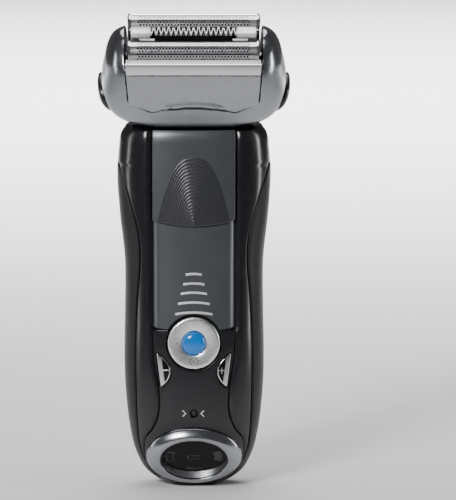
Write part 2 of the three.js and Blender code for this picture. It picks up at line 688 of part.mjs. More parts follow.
function cutter() {
  const blades = 8;
  const pitch = 36 / blades;
  const drum = rod("x", FOIL.radius - 0.75, -18, 18, [0, 0], 14);
  const foot = box(-18, 18, -2.4, 2.4, -3.1, 0);
  const slots = [];
  for (let i = 0; i + 1 < blades; i++) {
    const x = -18 + (i + 1) * pitch;
    slots.push(box(x - 0.5, x + 0.5, -4, 4, -1.2, 5));
  }
  const socket = box(-1.5, 1.5, -1.5, 1.5, -8, -1.4);
  const boss = box(-3.4, 3.4, -2.4, 2.4, -7.4, -3);
  return cut(join(drum.intersect(box(-20, 20, -5, 5, -1, 5)), foot, boss), ...slots, socket);
}

const SPRING_SEAT = 12.8; // the cutter springs' lower end, just above the cassette frame's floor
class Coil extends THREE.Curve {
  constructor(radius, height, turns) {
    super();
    Object.assign(this, { radius, height, turns });
  }

  getPoint(t, target = new THREE.Vector3()) {
    const angle = 2 * Math.PI * this.turns * t;
    return target.set(this.radius * Math.cos(angle), this.radius * Math.sin(angle), this.height * t);
  }
}

function coilSpring(radius, wire, height, turns) {
  const section = outline(ellipse(wire / 2, wire / 2, 5));
  const path = new Coil(radius, height, turns);
  const options = { steps: 12 * turns, extrudePath: path, bevelEnabled: false };
  return toSolid(new THREE.ExtrudeGeometry(section, options));
}

for (const [end, side] of [["front", -1], ["back", 1]]) {
  const place = [0, (side * FOIL.pitch) / 2, FOIL.centre];
  add(head, `${end}_foil`, "steel", foilSheet().translate(place));
  add(head, `${end}_foil_holder`, "black", foilHolder().translate(place));
  add(head, `${end}_cutter`, "steel", cutter().translate(place));
  const spring = coilSpring(1.8, 0.5, 6.6, 3);
  add(head, `${end}_cutter_spring`, "steel", spring.translate([11, place[1], SPRING_SEAT]));
}

// Middle trimmer: a zigzag comb over a sliding blade.
const COMB = { half: 21.8, zig: 15.5, teeth: 18, reach: 2.1, ribbon: 0.42 };

function zigzag(z0, z1) {
  const pitch = (2 * COMB.zig) / COMB.teeth;
  const front = [];
  const rear = [];
  for (let i = 0; i <= COMB.teeth; i++) {
    const x = -COMB.zig + i * pitch;
    const y = (i % 2 ? -1 : 1) * (COMB.reach - COMB.ribbon * 2);
    front.push([x, y - COMB.ribbon * 1.9]);
    rear.unshift([x, y + COMB.ribbon * 1.9]);
  }
  return prismZ(outline([...front, ...rear]), z0, z1);
}

const combEnd = box(COMB.zig - 0.6, COMB.half, -COMB.reach, COMB.reach, TOP - 1.9, TOP);
const combRail = box(-COMB.half, COMB.half, -0.5, 0.5, TOP - 4.6, TOP - 3.9);
const combPost = box(COMB.half - 3, COMB.half, -0.5, 0.5, TOP - 4.6, TOP - 1.8);
add(
  head, "middle_comb", "chrome",
  join(zigzag(TOP - 0.9, TOP), combEnd, mirrored(combEnd), combRail, combPost, mirrored(combPost)),
);
add(head, "middle_blade", "steel", box(-13.5, 13.5, -1.5, 1.5, TOP - 3.4, TOP - 1.2));

export default shaver;
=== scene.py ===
"""Looks for an electric foil shaver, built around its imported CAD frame.

The frame is in metres: +Z up the handle, -Y is the front. Shapes below are written in millimetres, in the
handle's own axes or in the head's (x across, y fore and aft, w up the leaning head), and are turned into
frame metres when a piece is made.
"""
import json
import math

import bmesh
import bpy
from mathutils import Matrix, Vector
from mathutils.geometry import delaunay_2d_cdt


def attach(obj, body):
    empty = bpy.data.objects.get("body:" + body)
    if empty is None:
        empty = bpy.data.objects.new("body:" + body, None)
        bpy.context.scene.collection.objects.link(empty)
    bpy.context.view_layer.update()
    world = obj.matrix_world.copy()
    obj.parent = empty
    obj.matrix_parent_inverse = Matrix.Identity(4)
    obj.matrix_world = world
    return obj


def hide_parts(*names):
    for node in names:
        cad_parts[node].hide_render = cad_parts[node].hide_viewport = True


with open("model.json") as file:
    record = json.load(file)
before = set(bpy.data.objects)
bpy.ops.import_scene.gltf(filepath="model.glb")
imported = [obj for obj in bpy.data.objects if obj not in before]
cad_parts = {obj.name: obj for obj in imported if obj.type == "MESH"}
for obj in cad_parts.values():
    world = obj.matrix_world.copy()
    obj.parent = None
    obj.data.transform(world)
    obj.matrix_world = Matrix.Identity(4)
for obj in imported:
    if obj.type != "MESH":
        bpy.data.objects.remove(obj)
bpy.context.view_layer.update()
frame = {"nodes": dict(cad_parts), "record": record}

# ---------- driving sizes, millimetres
MM = 0.001
PLAN_SHIFT = 4.56  # from the handle's own middle line to the frame's
BODY_TOP = 127.6
CORNER = 2.5  # how square the handle's section is; 2 is an ellipse
CONTROL_TOP = 56.6
STRIP_HALF = 14.7
STRIP_BOTTOM = 57
STRIP_TOP = 126.2
SLIDER_LOW = (92.9, 94.9)  # the slider's lower edge, in its middle and at its ends
PANEL_DEPTH = 1.6
SLIDER_DEPTH = 0.9
GRIP_DEPTH = 1.4
GAP = 0.3
CHIN_TILT = math.radians(25)
CHIN = (0, -11.2, 11.5)
BUTTON_Y, BUTTON_Z = -14.6, 52.2
RESET_Z = 27.4
BARS = [(76, 5.6), (72.6, 7.4), (69.3, 9.1), (65.8, 11), (62.2, 13)]  # (height, length)
HEAD_TILT = math.radians(30)
PIVOT = (0, -1, 137.8)
FOIL_PITCH = 16.3
FOIL_RADIUS = 3.9
FOIL_CENTRE = 23.1
COMB_TOP = FOIL_CENTRE + FOIL_RADIUS
MOUTH_FLOOR = 3.4
FAR = 200  # past the end of every piece


# ---------- small maths
def smooth(points):
    """A smooth curve through (position, value) pairs, with the same formula as the CAD."""
    last = len(points) - 1
    slope = []
    for i in range(last + 1):
        a, b = points[max(i - 1, 0)], points[min(i + 1, last)]
        slope.append((b[1] - a[1]) / (b[0] - a[0]))

    def at(z):
        i = 0
        while i < last - 1 and z >= points[i + 1][0]:
            i += 1
        (z0, v0), (z1, v1) = points[i], points[i + 1]
        h = z1 - z0
        t = min(max((z - z0) / h, 0), 1)
        s = t * t * (3 - 2 * t)
        return v0 + (v1 - v0) * s + h * t * (1 - t) * (slope[i] * (1 - t) - slope[i + 1] * t)

    return at


# The handle's curves, each from (height, reach) pairs.
half_width = smooth([
    (0, 9), (2.4, 13.2), (5, 16.6), (8.5, 19), (15, 21.5), (27, 23.5), (42, 24.5), (62, 24.3), (80, 24.3),
    (96, 26), (110, 26.9), (120, 26.3), (124.5, 25.5), (BODY_TOP, 23.4)])
front_reach = smooth([
    (0, 5), (5, 9.5), (12, 13.6), (20, 16.2), (32, 17.2), (55, 17), (75, 15.8), (100, 14.4), (120, 13.4),
    (124.5, 13), (BODY_TOP, 11.8)])
back_reach = smooth([
    (0, 9.5), (4, 12), (14, 14.4), (40, 15.6), (75, 14.6), (100, 14.2), (120, 13.4), (BODY_TOP, 11.8)])
grip_edge = smooth([
    (1.6, 11.5), (3.5, 13), (8, 16.5), (15, 19.2), (24, 20.2), (34, 20.6), (50, 20.8), (66, 20.2), (81, 19.1),
    (89, 19.6), (96, 21.2), (102.6, 23.2), (109, 25.2), (118, 27.5)])
control_edge = smooth([
    (5, 17), (17.5, 17), (21.5, 14.2), (26, 12.4), (31, 11.8), (38, 12.3), (47, 13.8), (CONTROL_TOP, 14.2)])


def step(a, b, t):
    """0 before a, 1 after b, smooth between."""
    u = min(max((t - a) / (b - a), 0), 1)
    return u * u * (3 - 2 * u)


def power(value, exponent):
    """A power that keeps the number's sign."""
    return math.copysign(abs(value) ** exponent, value)


def spread(a, b, count):
    """Evenly spaced numbers from a to b."""
    return [a + (b - a) * i / (count - 1) for i in range(count)]


def soft_max(a, b, r):
    """The larger of two numbers, rounded over a radius r where they meet."""
    h = max(r - abs(a - b), 0)
    return max(a, b) + h * h / (4 * r)


def chin_y(z, inset):
    """Depth of the flat that cuts the chin off."""
    return CHIN[1] + (inset + 0.5) / math.cos(CHIN_TILT) - (z - CHIN[2]) * math.tan(CHIN_TILT)


def section(t, z, inset=0.0):
    """A point on the handle's skin: t runs round the section from the right side, the front is t < 0."""
    reach = front_reach(z) if math.sin(t) < 0 else back_reach(z)
    x = (half_width(z) - inset) * power(math.cos(t), 2 / CORNER)
    y = (reach - inset) * power(math.sin(t), 2 / CORNER)
    return (x, soft_max(y, chin_y(z, inset), 1.2), z)


def angle_of(x, z, inset=0.0):
    """The section angle, as a positive number from the side, at which the skin has this x."""
    ratio = min(max(x / (half_width(z) - inset), 0), 1)
    return math.acos(ratio ** (CORNER / 2))


def front_y(x, z, inset=0.0):
    """Depth of the handle's front skin at this x and height."""
    ratio = min(abs(x) / (half_width(z) - inset), 1)
    y = -(front_reach(z) - inset) * (1 - ratio ** CORNER) ** (1 / CORNER)
    return soft_max(y, chin_y(z, inset), 1.2)


def advance(t, z, distance):
    """The section angle reached after moving this far round the skin from t."""
    small = 0.002
    a, b = Vector(section(t, z)), Vector(section(t + small, z))
    return t + distance * small / max((b - a).length, 1e-6)


# ---------- placing
def handle_place(p):
    return (p[0] * MM, (p[1] + PLAN_SHIFT) * MM, p[2] * MM)


HEAD_TURN = Matrix.Rotation(HEAD_TILT, 3, "X")


def head_place(p):
    turned = HEAD_TURN @ Vector(p)
    return ((turned.x + PIVOT[0]) * MM, (turned.y + PIVOT[1] + PLAN_SHIFT) * MM, (turned.z + PIVOT[2]) * MM)


CHIN_TURN = Matrix.Rotation(math.pi / 2 + CHIN_TILT, 3, "X")


def chin_place(p):
    turned = CHIN_TURN @ Vector(p)
    return handle_place((turned.x + CHIN[0], turned.y + CHIN[1], turned.z + CHIN[2]))


def add_object(name, data):
    obj = bpy.data.objects.new(name, data)
    bpy.context.scene.collection.objects.link(obj)
    return obj


def make(name, shape, place=handle_place, sharp=35):
    """A closed mesh object from millimetre points, with its normals out and its hard edges marked."""
    verts, faces = shape
    mesh = bpy.data.meshes.new(name)
    mesh.from_pydata([place(p) for p in verts], [], faces)
    bm = bmesh.new()
    bm.from_mesh(mesh)
    bmesh.ops.remove_doubles(bm, verts=bm.verts, dist=2e-6)
    bmesh.ops.recalc_face_normals(bm, faces=bm.faces)
    bm.to_mesh(mesh)
    bm.free()
    obj = add_object(name, mesh)
    harden(obj, sharp)
    return obj


def harden(obj, sharp=35):
    """Shades an object smooth, apart from edges that turn by more than this many degrees."""
    obj.data.shade_smooth()
    obj.data.set_sharp_from_angle(angle=math.radians(sharp))


def merge(*parts):
    """One (verts, faces) pair from several."""
    verts, faces = [], []
    for part_verts, part_faces in parts:
        base = len(verts)
        verts += part_verts
        faces += [[base + i for i in face] for face in part_faces]
    return verts, faces


def bands(n, pairs, base=0):
    """Quads between pairs of rings of n points each, whose points are numbered from base."""
    return [[base + r * n + i, base + r * n + (i + 1) % n, base + s * n + (i + 1) % n, base + s * n + i]
            for r, s in pairs for i in range(n)]


def loft(rings, closed=True):
    """Quads between rings of equal length, with flat ends, or with the last ring joined to the first."""
    n, count = len(rings[0]), len(rings)
    verts = [p for ring in rings for p in ring]
    faces = bands(n, [(r, (r + 1) % count) for r in range(count - 1 if closed else count)])
    if closed:
        faces += [list(range(n)), list(range((count - 1) * n, count * n))]
    return verts, faces


def round_edge(radius, steps=4):
    """(distance back from the edge, drop below the surface) pairs round a quarter circle."""
    return [(radius - radius * math.sin(a), radius - radius * math.cos(a))
            for a in spread(0, math.pi / 2, steps + 1)]


def ellipse(a, b, u=0.0, v=0.0, sides=64):
    """Points round an ellipse about (u, v)."""
    turns = [2 * math.pi * i / sides for i in range(sides)]
    return [(u + a * math.cos(t), v + b * math.sin(t)) for t in turns]


def circle(radius, u=0.0, v=0.0, sides=64):
    return ellipse(radius, radius, u, v, sides)


def prism(axis, loop, low, high):
    """A closed prism along an axis (0, 1 or 2), from a loop in the plane of the other two."""
    return loft([[(*p[:axis], h, *p[axis:]) for p in loop] for h in (low, high)])


def lathe(profile, sides=64):
    """A solid of revolution about the third axis, from (radius, height) points that start and end on it."""
    return loft([[(x, y, h) for x, y in circle(r, sides=sides)] for r, h in profile])


def box(x0, x1, y0, y1, z0, z1):
    return prism(2, [(x0, y0), (x1, y0), (x1, y1), (x0, y1)], z0, z1)


def thicken(top, bottom, faces):
    """A closed solid from a sheet's points, the same points on its underside, and its faces."""
    n = len(top)
    edges = [(face[i - 1], face[i]) for face in faces for i in range(len(face))]
    known = set(edges)
    walls = [[b, a, n + a, n + b] for a, b in edges if (b, a) not in known]
    return top + bottom, faces + [[n + i for i in reversed(face)] for face in faces] + walls


# ---------- plates that follow a surface
def offset(loop, distance):
    """A closed loop moved sideways, to the left of its direction for a positive distance."""
    out = []
    n = len(loop)
    for i in range(n):
        p, a, b = Vector(loop[i]), Vector(loop[i - 1]), Vector(loop[(i + 1) % n])
        d0, d1 = (p - a).normalized(), (b - p).normalized()
        n0, n1 = Vector((-d0.y, d0.x)), Vector((-d1.y, d1.x))
        mid = (n0 + n1).normalized()
        out.append(tuple(p + mid * (distance / max(mid.dot(n0), 0.4))))
    return out


def flip(loop):
    """The mirror image of a loop or of a part of one, in reverse order."""
    return [(-u, v) for u, v in reversed(loop)]


def area(loop):
    return sum(loop[i - 1][0] * loop[i][1] - loop[i][0] * loop[i - 1][1] for i in range(len(loop))) / 2


def inside(p, loop):
    hit = False
    for i in range(len(loop)):
        (x0, y0), (x1, y1) = loop[i - 1], loop[i]
        if (y0 > p[1]) != (y1 > p[1]) and p[0] < (x1 - x0) * (p[1] - y0) / (y1 - y0) + x0:
            hit = not hit
    return hit


def rounded(points, radius, pieces=5):
    """A loop with every corner of a polygon rounded."""
    out = []
    n = len(points)
    for i in range(n):
        p, a, b = Vector(points[i]), Vector(points[i - 1]), Vector(points[(i + 1) % n])
        reach = min(radius, (a - p).length / 2.1, (b - p).length / 2.1)
        start, end = p + (a - p).normalized() * reach, p + (b - p).normalized() * reach
        for t in spread(0, 1, pieces + 1):
            out.append(tuple(start * (1 - t) ** 2 + p * 2 * t * (1 - t) + end * t * t))
    return out


def dense(loop, spacing):
    """The same loop with extra points on its long sides."""
    out = []
    for i in range(len(loop)):
        a, b = Vector(loop[i]), Vector(loop[(i + 1) % len(loop)])
        count = max(1, round((b - a).length / spacing))
        out += [tuple(a + (b - a) * k / count) for k in range(count)]
    return out


def fill(loops, spacing):
    """Triangles between loops, the first outside and the rest holes, on an even grid of points."""
    points = [p for loop in loops for p in loop]
    edges = []
    base = 0
    for loop in loops:
        edges += [(base + i, base + (i + 1) % len(loop)) for i in range(len(loop))]
        base += len(loop)
    margins = [offset(loop, 0.45 * spacing) for loop in loops]
    us, vs = [p[0] for p in loops[0]], [p[1] for p in loops[0]]
    for u in spread(min(us), max(us), max(2, round((max(us) - min(us)) / spacing) + 1)):
        for v in spread(min(vs), max(vs), max(2, round((max(vs) - min(vs)) / spacing) + 1)):
            if inside((u, v), margins[0]) and not any(inside((u, v), hole) for hole in margins[1:]):
                points.append((u, v))
    out = delaunay_2d_cdt([Vector(p) for p in points], edges, [], 0, 1e-7)
    verts, triangles = out[0], out[2]
    kept = []
    for face in triangles:
        middle = tuple(sum((verts[i] for i in face), Vector((0, 0))) / len(face))
        if inside(middle, loops[0]) and not any(inside(middle, hole) for hole in loops[1:]):
            kept.append(list(face))
    return [tuple(v) for v in verts], kept


def plate(loops, surface, depth, radius=0.4, spacing=1.0, outward=-1):
    """A closed plate with rounded edges, whose face follows surface(u, v) and looks outward along y."""
    turned = []
    for k, loop in enumerate(loops):
        loop = dense(loop, spacing * 0.7)
        if (area(loop) > 0) != (k == 0):
            loop.reverse()
        turned.append(loop)
    levels = round_edge(radius)
    face_loops = [offset(loop, radius) for loop in turned]
    flat, triangles = fill(face_loops, spacing)
    verts = [(u, surface(u, v), v) for u, v in flat]
    faces = [list(t) for t in triangles]
    under = len(verts)
    back_flat, back_triangles = fill(turned, spacing * 2)
    verts += [(u, surface(u, v) - outward * depth, v) for u, v in back_flat]
    faces += [[under + i for i in t] for t in back_triangles]
    for loop in turned:
        rings = []
        for back, drop in levels + [(0, depth)]:
            ring = offset(loop, back) if back else loop
            rings.append([(u, surface(u, v) - outward * drop, v) for u, v in ring])
        faces += bands(len(loop), [(r, r + 1) for r in range(len(rings) - 1)], len(verts))
        verts += [p for ring in rings for p in ring]
    return verts, faces


def cut(obj, *cutters):
    """Takes closed cutters away from an object and removes them."""
    for cutter in cutters:
        modifier = obj.modifiers.new("cut", "BOOLEAN")
        modifier.operation = "DIFFERENCE"
        modifier.solver = "EXACT"
        modifier.object = cutter
        bake(obj)
        bpy.data.objects.remove(cutter)
    harden(obj)


def bake(obj):
    """Applies an object's modifiers to its mesh."""
    bpy.context.view_layer.update()
    done = bpy.data.meshes.new_from_object(obj.evaluated_get(bpy.context.evaluated_depsgraph_get()))
    obj.modifiers.clear()
    obj.data = done


# ---------- materials
LOOKS = {}  # every material by its name; those named as a record slot also dress the CAD nodes of that slot


def material(name, color, rough, metal=0.0, coat=0.0, grain=None, bump=0.0, mottle=0.0, stretch=(1, 1, 1),
             **more):
    """A principled material whose colour and roughness vary with noise, and whose grain is a fine bump.

    grain is the grain's size and bump its height, in millimetres; stretch pulls it into lines.
    """
    mat = LOOKS[name] = bpy.data.materials.new(name)
    mat.use_nodes = True
    nodes, links = mat.node_tree.nodes, mat.node_tree.links
    shader = nodes["Principled BSDF"]
    for key, value in dict(Metallic=metal, Coat_Weight=coat, Coat_Roughness=0.05, **more).items():
        shader.inputs[key.replace("_", " ")].default_value = value
    place = nodes.new("ShaderNodeTexCoord")
    mapping = nodes.new("ShaderNodeMapping")
    mapping.inputs["Scale"].default_value = stretch
    links.new(place.outputs["Object"], mapping.inputs["Vector"])

    def noise(size, detail):
        node = nodes.new("ShaderNodeTexNoise")
        node.inputs["Scale"].default_value = 1 / (size * MM)
        node.inputs["Detail"].default_value = detail
        links.new(mapping.outputs["Vector"], node.inputs["Vector"])
        return node.outputs["Fac"]

    def ranged(source, low, high):
        node = nodes.new("ShaderNodeMapRange")
        for key, value in (("From Min", 0.3), ("From Max", 0.7), ("To Min", low), ("To Max", high)):
            node.inputs[key].default_value = value
        links.new(source, node.inputs["Value"])
        return node.outputs["Result"]

    tint = nodes.new("ShaderNodeMix")
    tint.data_type = "RGBA"
    tint.inputs[6].default_value = (*(c * (1 - mottle) for c in color), 1)
    tint.inputs[7].default_value = (*(min(c * (1 + mottle), 1) for c in color), 1)
    links.new(ranged(noise(14, 3), 0, 1), tint.inputs[0])
    links.new(tint.outputs[2], shader.inputs["Base Color"])
    links.new(ranged(noise(grain or 3, 4), rough * 0.85, rough * 1.15), shader.inputs["Roughness"])
    if grain:
        relief = nodes.new("ShaderNodeBump")
        relief.inputs["Strength"].default_value = 1
        relief.inputs["Distance"].default_value = bump * MM
        links.new(noise(grain, 2), relief.inputs["Height"])
        links.new(relief.outputs["Normal"], shader.inputs["Normal"])
    return mat


GLOSS = material("gloss_black", (0.008, 0.0085, 0.0105), 0.24, coat=0.15, mottle=0.06)
RUBBER = material("grip_rubber", (0.01, 0.0105, 0.012), 0.46, grain=0.25, bump=0.012, mottle=0.1,
                  Specular_IOR_Level=0.3)
LACQUER = material("satin_grey", (0.085, 0.089, 0.1), 0.32, metal=0.5, grain=0.3, bump=0.002, mottle=0.05)
# A darker copy of the slider's satin grey for its thumb ridges: painted shade on the ridged zone.
RIDGE_SHADE_GREY = material("ridge_shaded_grey", (0.035, 0.036, 0.04), 0.34, metal=0.3, grain=0.3, bump=0.002, mottle=0.05)
MATT = material("matte_black", (0.011, 0.011, 0.012), 0.42, grain=0.35, bump=0.008, mottle=0.12)
# Near-black used only as painted shade: on the parts behind the foils, in the foils' rows of slots, and as the
# painted shadow under the slider's edge.
SHADE_BLACK = material("painted_shade_black", (0.004, 0.004, 0.005), 0.5, grain=0.3, bump=0.003, mottle=0.1)
POLISHED = material("polished_grey", (0.31, 0.32, 0.345), 0.22, metal=1, coat=0.1, mottle=0.03)
SATIN = material("satin_silver", (0.4, 0.41, 0.43), 0.27, metal=1, grain=0.12, bump=0.0015, mottle=0.04,
                 stretch=(0.08, 1, 1))
BRUSHED = material("brushed_silver", (0.92, 0.92, 0.94), 0.28, metal=1, grain=0.12, bump=0.002, mottle=0.04,
                   stretch=(0.1, 1, 1))
SILVER = material("pale_silver", (0.8, 0.805, 0.82), 0.35, metal=0.6, mottle=0.02)
CHROME = material("bright_chrome", (0.8, 0.81, 0.83), 0.08, metal=1, mottle=0.02)
BEZEL = material("bezel_chrome", (0.34, 0.35, 0.37), 0.2, metal=1, mottle=0.03)
FUNNEL = material("funnel_grey", (0.2, 0.2, 0.21), 0.3, metal=0.9, mottle=0.04)
STEEL = material("blade_steel", (0.68, 0.69, 0.71), 0.24, metal=1, grain=0.15, bump=0.002, mottle=0.05,
                 stretch=(0.1, 1, 1))
GLASS = material("display_black", (0.005, 0.005, 0.006), 0.06, mottle=0.05, Specular_IOR_Level=0.25)
# The lens's emission is a painted glow, for the light that the blue lens catches; it is no lamp.
BLUE = material("blue_lens", (0.004, 0.13, 0.42), 0.12, coat=0.5, mottle=0.3,
                Emission_Color=(0.003, 0.13, 0.4, 1), Emission_Strength=0.22)
PRINT = material("pale_print", (0.62, 0.63, 0.65), 0.4, mottle=0.05)
FAINT = material("faint_print", (0.03, 0.031, 0.034), 0.35, mottle=0.1)
material("contact_brass", (0.78, 0.58, 0.28), 0.22, metal=1, grain=0.4, bump=0.002, mottle=0.08)
material("coil_copper", (0.6, 0.27, 0.12), 0.32, metal=1, grain=0.25, bump=0.03, mottle=0.15,
         stretch=(0.1, 1, 1))
material("circuit_green", (0.02, 0.12, 0.05), 0.4, grain=0.8, bump=0.02, mottle=0.3)
material("battery_sleeve", (0.05, 0.13, 0.32), 0.35, grain=1.2, bump=0.01, mottle=0.12)
FLOOR = material("pale_floor", (0.9, 0.9, 0.9), 0.7, grain=4, bump=0.01, mottle=0.01)

# Painted shade: the cutters, the middle blade, the cassette frame and the foil holders stay near-black in
# place of their own material, so that the foils' holes and the comb's gaps read as openings.
SHADED = ("front_cutter", "back_cutter", "middle_blade", "cassette_frame", "front_foil_holder",
          "back_foil_holder")


def dress_cad():
    """Every CAD node gets the procedural material of its slot, or, behind the foils, the near-black one that
    paints their shade.
    """
    for part in frame["record"]["subparts"]:
        obj = frame["nodes"][part["node"]]
        obj.data.materials.clear()
        obj.data.materials.append(SHADE_BLACK if part["node"] in SHADED else LOOKS[part["material_slot"]])


def finish(obj, look, body, slot, *nodes):
    """Gives a piece its material and its moving body, and hides the CAD nodes it stands for; the slot argument
    is not used.
    """
    obj.data.materials.clear()
    obj.data.materials.append(look)
    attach(obj, body)
    if nodes:
        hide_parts(*nodes)


def piece(name, shape, look, body, slot, *nodes, place=handle_place, sharp=35):
    finish(make(name, shape, place, sharp), look, body, slot, *nodes)


# ---------- the handle's shells
POCKET_LOW = 6.0
SIDE = 0.0025  # the section angle of the parting line between the two housings
SHELL_WALL = 3.2
HOLLOW = (5.5, 112.5)
BAY_HALF, BAY_LOW, BAY_FLOOR, BAY_WALL = 13.0, 84.0, 9.6, 1.6  # the trimmer's recess in the back


def has_grip(z):
    return 1.7 < z < 116 and grip_edge(z) < half_width(z) - 0.12


def control_or_strip(z):
    """Half-width of the long shallow recess that holds the front panels."""
    return STRIP_HALF + GAP if z > STRIP_BOTTOM - GAP else control_edge(z) + GAP


def turn(t, z, distance, side):
    """The section angle, counted from the side, that lies this far round the skin from t."""
    return abs(advance(side * t, z, distance))


def half_row(z, side, inner_x, floor, lips):
    """Points from the parting line to the middle: under the grip, the open land, then the central recess.

    floor gives the recess's points, or None where there is no recess; lips are the two edge radii.
    """
    gripped, under = has_grip(z), GRIP_DEPTH + GAP
    t_out = angle_of(grip_edge(z) - GAP, z) if gripped else SIDE
    t_in = max(angle_of(inner_x, z), t_out + 0.04)
    room = t_in - t_out
    out_turn = min(turn(t_out + 0.01, z, side * lips[0], side) - t_out - 0.01, 0.3 * room)
    in_turn = min(turn(t_in, z, side * lips[1], side) - t_in, 0.5 * room)
    points = [section(side * t, z, under if gripped else 0) for t in spread(SIDE, t_out, 6)]
    for back, drop in reversed(round_edge(lips[0])):
        points.append(section(side * (t_out + back / lips[0] * out_turn), z, drop if gripped else 0))
    points += [section(side * t, z) for t in spread(t_out + out_turn, t_in - in_turn, 24)[1:]]
    for back, drop in round_edge(lips[1])[1:]:
        points.append(section(side * (t_in - back / lips[1] * in_turn), z, drop if floor else 0))
    t_wall = angle_of(section(side * t_in, z, lips[1])[0] - 0.06, z)
    return points + [floor(t) if floor else section(side * t, z) for t in spread(t_wall, math.pi / 2, 12)]


def closed_ring(half, side, z, hollow, deepest):
    """The whole row: the outer points and their mirror image, then the inside or the parting plane."""
    outer = half + [(-x, y, h) for x, y, h in reversed(half[:-1])]
    ts = spread(math.pi - SIDE, SIDE, 40)
    if hollow:
        inner = [section(side * t, z, SHELL_WALL) for t in ts]
        inner = [(x, side * min(abs(y), deepest), z) for x, y, z in inner]
    else:
        reach = half_width(z) - SHELL_WALL
        inner = [(x, half[0][1], z) for x in spread(-reach, reach, 40)]
    return outer + inner


def within(z, upper, low, high):
    """Whether a row lies in a recess; two rows share each end height, and upper marks the second of them."""
    return low < z < high or (z == low and upper) or (z == high and not upper)


def levels(low, high, pace, *ends):
    """Row heights about a pace apart, with each recess's end height in them twice."""
    plain = spread(low, high, round((high - low) / pace) + 1)
    return sorted(plain + [z for z in ends for _ in range(2)])


def shell_rings(row, ends):
    rings = []
    previous = None
    for z in levels(0, BODY_TOP - 0.8, 1.1, *HOLLOW, *ends):
        rings.append(row(z, z == previous))
        previous = z
    rim = rings[-1]
    for back, drop in round_edge(0.8)[1:]:
        rings.append([(x * (1 - drop / 20), y * (1 - drop / 20 * min(abs(y) / 4, 1)), BODY_TOP - back)
                      for x, y, _ in rim])
    return rings


def front_row(z, upper):
    def floor(t):
        return section(-t, z, PANEL_DEPTH)

    sunk = floor if within(z, upper, POCKET_LOW, FAR) else None
    half = half_row(z, -1, control_or_strip(z), sunk, (0.8, 2.2))
    return closed_ring(half, -1, z, within(z, upper, *HOLLOW), FAR)


def back_row(z, upper):
    def floor(t):
        return (section(t, z)[0], BAY_FLOOR, z)

    sunk = floor if within(z, upper, BAY_LOW, FAR) else None
    half = half_row(z, 1, BAY_HALF, sunk, (0.45, 0.5))
    behind_bay = within(z, upper, BAY_LOW - BAY_WALL, FAR)
    return closed_ring(half, 1, z, within(z, upper, *HOLLOW), BAY_FLOOR - BAY_WALL if behind_bay else FAR)


def socket_cutter():
    half_x, half_y, y = 5.55, 4.15, 2.0
    corners = [(half_x, y - half_y), (half_x, y + half_y), (-half_x, y + half_y), (-half_x, y - half_y)]
    return make("cutter", prism(2, rounded(corners, 2.6), -2, 12))


def swing_cutters():
    """A notch along the top front edge, where the head's lower edge swings, and room for the neck's drum."""
    notch = [(-16, 140), (-16, 129.4), (-13.6, 127.4), (-12.1, 126.3), (-10.5, 125.7), (-8.8, 125.5),
             (-6.8, 126.9), (-5.8, 127.5), (-5, 128.4), (-5, 140)]
    drum = [(v + PIVOT[1], u + PIVOT[2]) for u, v in circle(11.8, sides=96)]
    return [make("cutter", prism(0, ring, -half, half)) for ring, half in ((notch, 40), (drum, 18.8))]


def front_openings():
    """Holes for the thumb button, the two keys and the pin, as one set of closed cutters."""
    key = key_loop(GAP)
    loops = [circle(9.5, 0, BUTTON_Z), circle(1.4, 0, RESET_Z, 16), key, [(-u, v) for u, v in key]]
    return make("cutter", merge(*(prism(1, loop, -30, -8) for loop in loops)))


def back_openings():
    """Holes for the two screws and the two charging contacts, as one set of closed cutters."""
    screws, contacts = (2.3, 8, 30, 12.2), (1.8, 5.5, 14, 10)
    return make("cutter", merge(*(prism(1, circle(radius, side * x, z, 32), floor, 25)
                                  for radius, x, z, floor in (screws, contacts) for side in (-1, 1))))


def make_housings():
    for side, row, ends, openings in (("front", front_row, (POCKET_LOW,), front_openings),
                                      ("back", back_row, (BAY_LOW, BAY_LOW - BAY_WALL), back_openings)):
        shell = make(f"{side}_shell", loft(shell_rings(row, ends)))
        cut(shell, *swing_cutters(), socket_cutter(), openings())
        finish(shell, GLOSS, "handle", "gloss_black", f"{side}_housing")


def make_grip(name, mirror):
    """A soft grip that wraps one side, from its edge on the front to its edge on the back."""
    rings = []
    lip = round_edge(0.5)
    for z in filter(has_grip, spread(1.75, 115.9, 115)):
        edge = angle_of(grip_edge(z), z)
        reach = [abs(advance(s * edge, z, 0.1) - s * edge) / 0.1 for s in (-1, 1)]
        squeeze = min(1, edge / (1.2 * max(reach)))
        front, rear = (r * squeeze for r in reach)
        outer = [(back * front - edge, drop * squeeze) for back, drop in reversed(lip)]
        outer += [(t, 0) for t in spread(lip[0][0] * front - edge, edge - lip[0][0] * rear, 44)[1:-1]]
        outer += [(edge - back * rear, drop * squeeze) for back, drop in lip]
        inner = [(t, GRIP_DEPTH - GAP) for t in spread(edge, -edge, 16)]
        ring = [section(t, z, inset) for t, inset in outer + inner]
        rings.append([(-x, y, z) for x, y, z in ring] if mirror else ring)
    side = "left" if mirror else "right"
    piece(name, loft(rings), RUBBER, "handle", "grip_rubber", f"{side}_grip")


# ---------- front panels and their trim
def arc_points(centre, radius, a0, a1, count=24):
    return [(centre[0] + radius * math.cos(math.radians(a)), centre[1] + radius * math.sin(math.radians(a)))
            for a in spread(a0, a1, count)]


